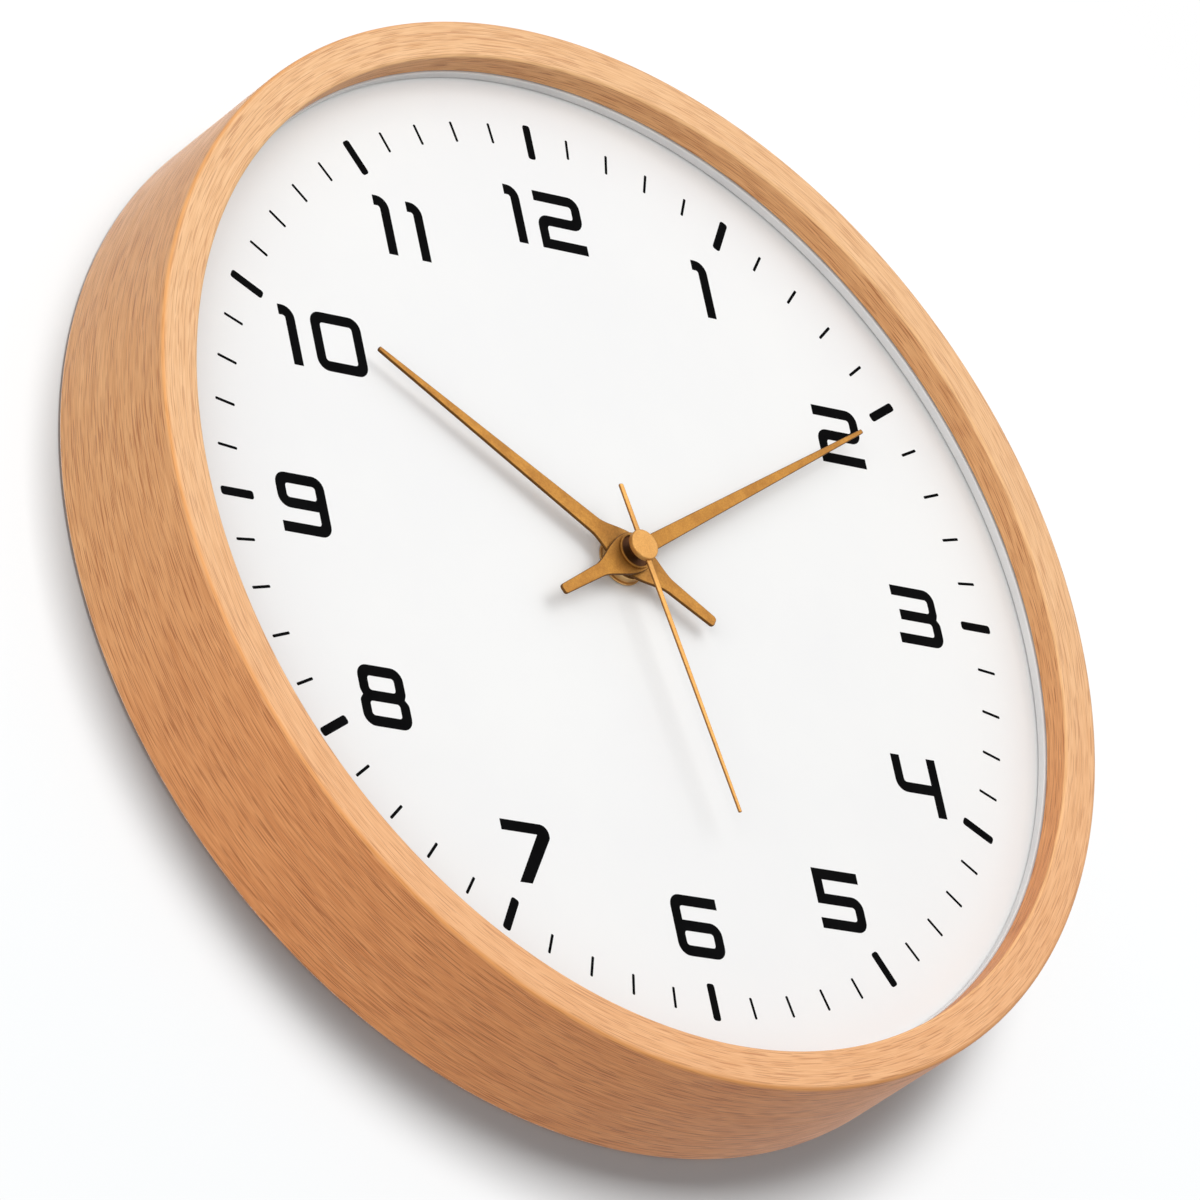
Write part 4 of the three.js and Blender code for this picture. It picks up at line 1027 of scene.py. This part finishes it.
def battery():
    """A profile of (radius, place along X) turned about the cell's axis: a steel collar at each
    end, the film between them one film's thickness higher, and the button."""
    low, high = float(cell_low[0]), float(cell_high[0])
    radius = float(cell_high[2] - cell_low[2]) / 2
    shoulder = high - CELL_BUTTON_LENGTH
    bare = radius - CELL_FILM
    section = [
        (0, low, 0),
        (bare, low, CELL_EDGE),
        (bare, low + CELL_COLLAR, 0),
        (radius, low + CELL_COLLAR, 0),
        (radius, shoulder - CELL_COLLAR, 0),
        (bare, shoulder - CELL_COLLAR, 0),
        (bare, shoulder, CELL_EDGE),
        (CELL_BUTTON_RADIUS, shoulder, CELL_FILM),
        (CELL_BUTTON_RADIUS, high, CELL_EDGE / 2),
        (0, high, 0),
    ]
    section = np.array(section)
    profile = round_corners(section[:, :2], section[:, 2], steps=5)
    points, quads, fans = turned(profile, CELL_SEGMENTS)
    steel = points[:, 1] < low + CELL_COLLAR + ON_LINE
    steel |= points[:, 1] > shoulder - CELL_COLLAR - ON_LINE
    steel &= np.linalg.norm(points[:, [0, 2]], axis=1) < radius - CELL_FILM / 2
    middle = (cell_low + cell_high) / 2
    points = points[:, [1, 0, 2]] + (0, middle[1], middle[2])
    piece = make_piece("battery", (points, quads, fans), cell_jacket, "clock")
    paint(piece, "steel", steel)
    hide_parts("battery_cell")


# Pieces of the construction that lie inside, with their finishes
NODE_FINISHES = {
    bright_steel: ["second_shaft", "crystal_can"],
    pale_brass: ["minute_pipe"],
    natural_plastic: [
        "hour_wheel",
        "centre_wheel",
        "second_wheel",
        "motion_wheel",
        "third_wheel",
        "step_wheel",
        "rotor_pinion",
        "setting_pinion",
        "coil_bobbin",
    ],
    magnet_grey: ["rotor_magnet"],
    soft_iron: ["stator", "coil_core"],
    copper_wire: ["coil_winding"],
    board_green: ["circuit_board"],
    epoxy_black: ["driver_chip"],
}


def dress_nodes():
    """Finishes on the pieces of the construction that stay as they are."""
    for material, names in NODE_FINISHES.items():
        for name in names:
            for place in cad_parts[name].material_slots:
                place.material = material


# Surroundings
def white_wall():
    """A wall behind the clock that only the camera sees, from its front. Other rays pass it, so
    that the studio's light also reaches the back of the clock. A little cool light of its own
    keeps its shadow grey beside the warm wood, and away from the clock it fades into the plain
    white of the world."""
    half, y = WALL_HALF, WALL_SETBACK
    rim = [(-half, y, -half), (half, y, -half), (half, y, half), (-half, y, half)]
    mesh = bpy.data.meshes.new("wall")
    mesh.from_pydata(rim, [], [(0, 1, 2, 3)])
    wall = add_object("wall", mesh)
    material = bpy.data.materials.new("wall_white")
    tree = empty_tree(material)
    grey = add_node(tree, "ShaderNodeBsdfDiffuse", WALL_GREY).outputs[0]
    lift = add_node(tree, "ShaderNodeEmission", WALL_LIFT).outputs[0]
    lit = add_node(tree, "ShaderNodeAddShader", {0: grey, 1: lift}).outputs[0]
    plain = add_node(tree, "ShaderNodeEmission", PLAIN_WHITE).outputs[0]
    place = add_node(tree, "ShaderNodeTexCoord").outputs["Object"]
    away = add_node(tree, "ShaderNodeVectorMath", {0: place}, operation="LENGTH").outputs["Value"]
    away = between(tree, away, WALL_FADE_START, WALL_FADE_END, smooth=True)
    white = add_node(tree, "ShaderNodeMixShader", {0: away, 1: lit, 2: plain}).outputs[0]
    clear = add_node(tree, "ShaderNodeBsdfTransparent").outputs[0]
    camera_ray = add_node(tree, "ShaderNodeLightPath").outputs["Is Camera Ray"]
    behind = add_node(tree, "ShaderNodeNewGeometry").outputs["Backfacing"]
    seen = reckon(tree, "MULTIPLY", camera_ray, reckon(tree, "SUBTRACT", 1.0, behind))
    shown = add_node(tree, "ShaderNodeMixShader", {0: seen, 1: clear, 2: white}).outputs[0]
    add_node(tree, "ShaderNodeOutputMaterial", {"Surface": shown})
    mesh.materials.append(material)
    return wall


def studio_world():
    """Even light from all round, a little less of it where a ray has bounced twice, and plain
    white where a ray looks at it."""
    world = bpy.data.worlds.new("studio")
    bpy.context.scene.world = world
    world.cycles.max_bounces = 0
    tree = empty_tree(world)
    path = add_node(tree, "ShaderNodeLightPath").outputs
    deep = reckon(tree, "GREATER_THAN", path["Diffuse Depth"], 1.5)
    even = {"Color": (1, 1, 1, 1), "Strength": between(tree, deep, 0.0, 1.0, AMBIENT, DEEP_AMBIENT)}
    even = add_node(tree, "ShaderNodeBackground", even).outputs[0]
    white = add_node(tree, "ShaderNodeBackground", PLAIN_WHITE).outputs[0]
    seen = reckon(tree, "MAXIMUM", path["Is Camera Ray"], path["Is Glossy Ray"])
    seen = reckon(tree, "MAXIMUM", seen, path["Is Transmission Ray"])
    light = add_node(tree, "ShaderNodeMixShader", {0: seen, 1: even, 2: white}).outputs[0]
    add_node(tree, "ShaderNodeOutputWorld", {"Surface": light})


def lamp(name, direction, distance, size, power, bounces=0):
    """A square soft light that looks at the dial's middle from a direction."""
    data = bpy.data.lights.new(name, "AREA")
    data.shape = "SQUARE"
    data.size = size
    data.energy = power
    data.cycles.max_bounces = bounces
    light = add_object(name, data)
    light.visible_camera = False
    way = Vector(direction).normalized()
    light.location = way * distance
    light.rotation_mode = "QUATERNION"
    light.rotation_quaternion = way.to_track_quat("Z", "Y")
    return light


def share_light(wall, lights, link_state):
    """Keeps the lamps off the wall, or on the wall alone."""
    chosen = bpy.data.collections.new(link_state.lower() + "_wall")
    chosen.objects.link(wall)
    chosen.collection_objects[0].light_linking.link_state = link_state
    for light in lights:
        light.light_linking.receiver_collection = chosen


def photograph_camera():
    """The camera looks along its azimuth and elevation at the aim, rolled about its own axis."""
    azimuth, elevation, roll = map(math.radians, (VIEW_AZIMUTH, VIEW_ELEVATION, VIEW_ROLL))
    back = np.array(
        [
            math.sin(azimuth) * math.cos(elevation),
            -math.cos(azimuth) * math.cos(elevation),
            math.sin(elevation),
        ]
    )
    level = np.cross((0, 0, 1), back)
    level /= np.linalg.norm(level)
    upright = np.cross(back, level)
    right = level * math.cos(roll) + upright * math.sin(roll)
    up = upright * math.cos(roll) - level * math.sin(roll)
    data = bpy.data.cameras.new("camera")
    data.lens = LENS
    data.sensor_width = SENSOR
    data.clip_start, data.clip_end = VIEW_CLIP
    camera = add_object("camera", data)
    turn = Matrix(np.stack([right, up, back], axis=1).tolist()).to_4x4()
    camera.matrix_world = Matrix.Translation(Vector(VIEW_AIM + back * VIEW_DISTANCE)) @ turn
    bpy.context.scene.camera = camera


photograph_camera()
studio_world()
wall = white_wall()
clock_lamps = [
    lamp("key_light", **KEY),
    lamp("front_light", **FRONT),
    lamp("side_light", **SIDE),
    lamp("back_light", **BACK),
]
share_light(wall, clock_lamps, "EXCLUDE")
share_light(wall, [lamp("wall_light", **WALL)], "INCLUDE")
wooden_ring()
dial_parts()
print_dial()
blades()
hub_discs()
for nodes, *look in ROUNDED_NODES:
    for node in nodes:
        rounded_copy(node, *look)
battery()
dress_nodes()
bpy.context.scene.view_settings.view_transform = "Standard"
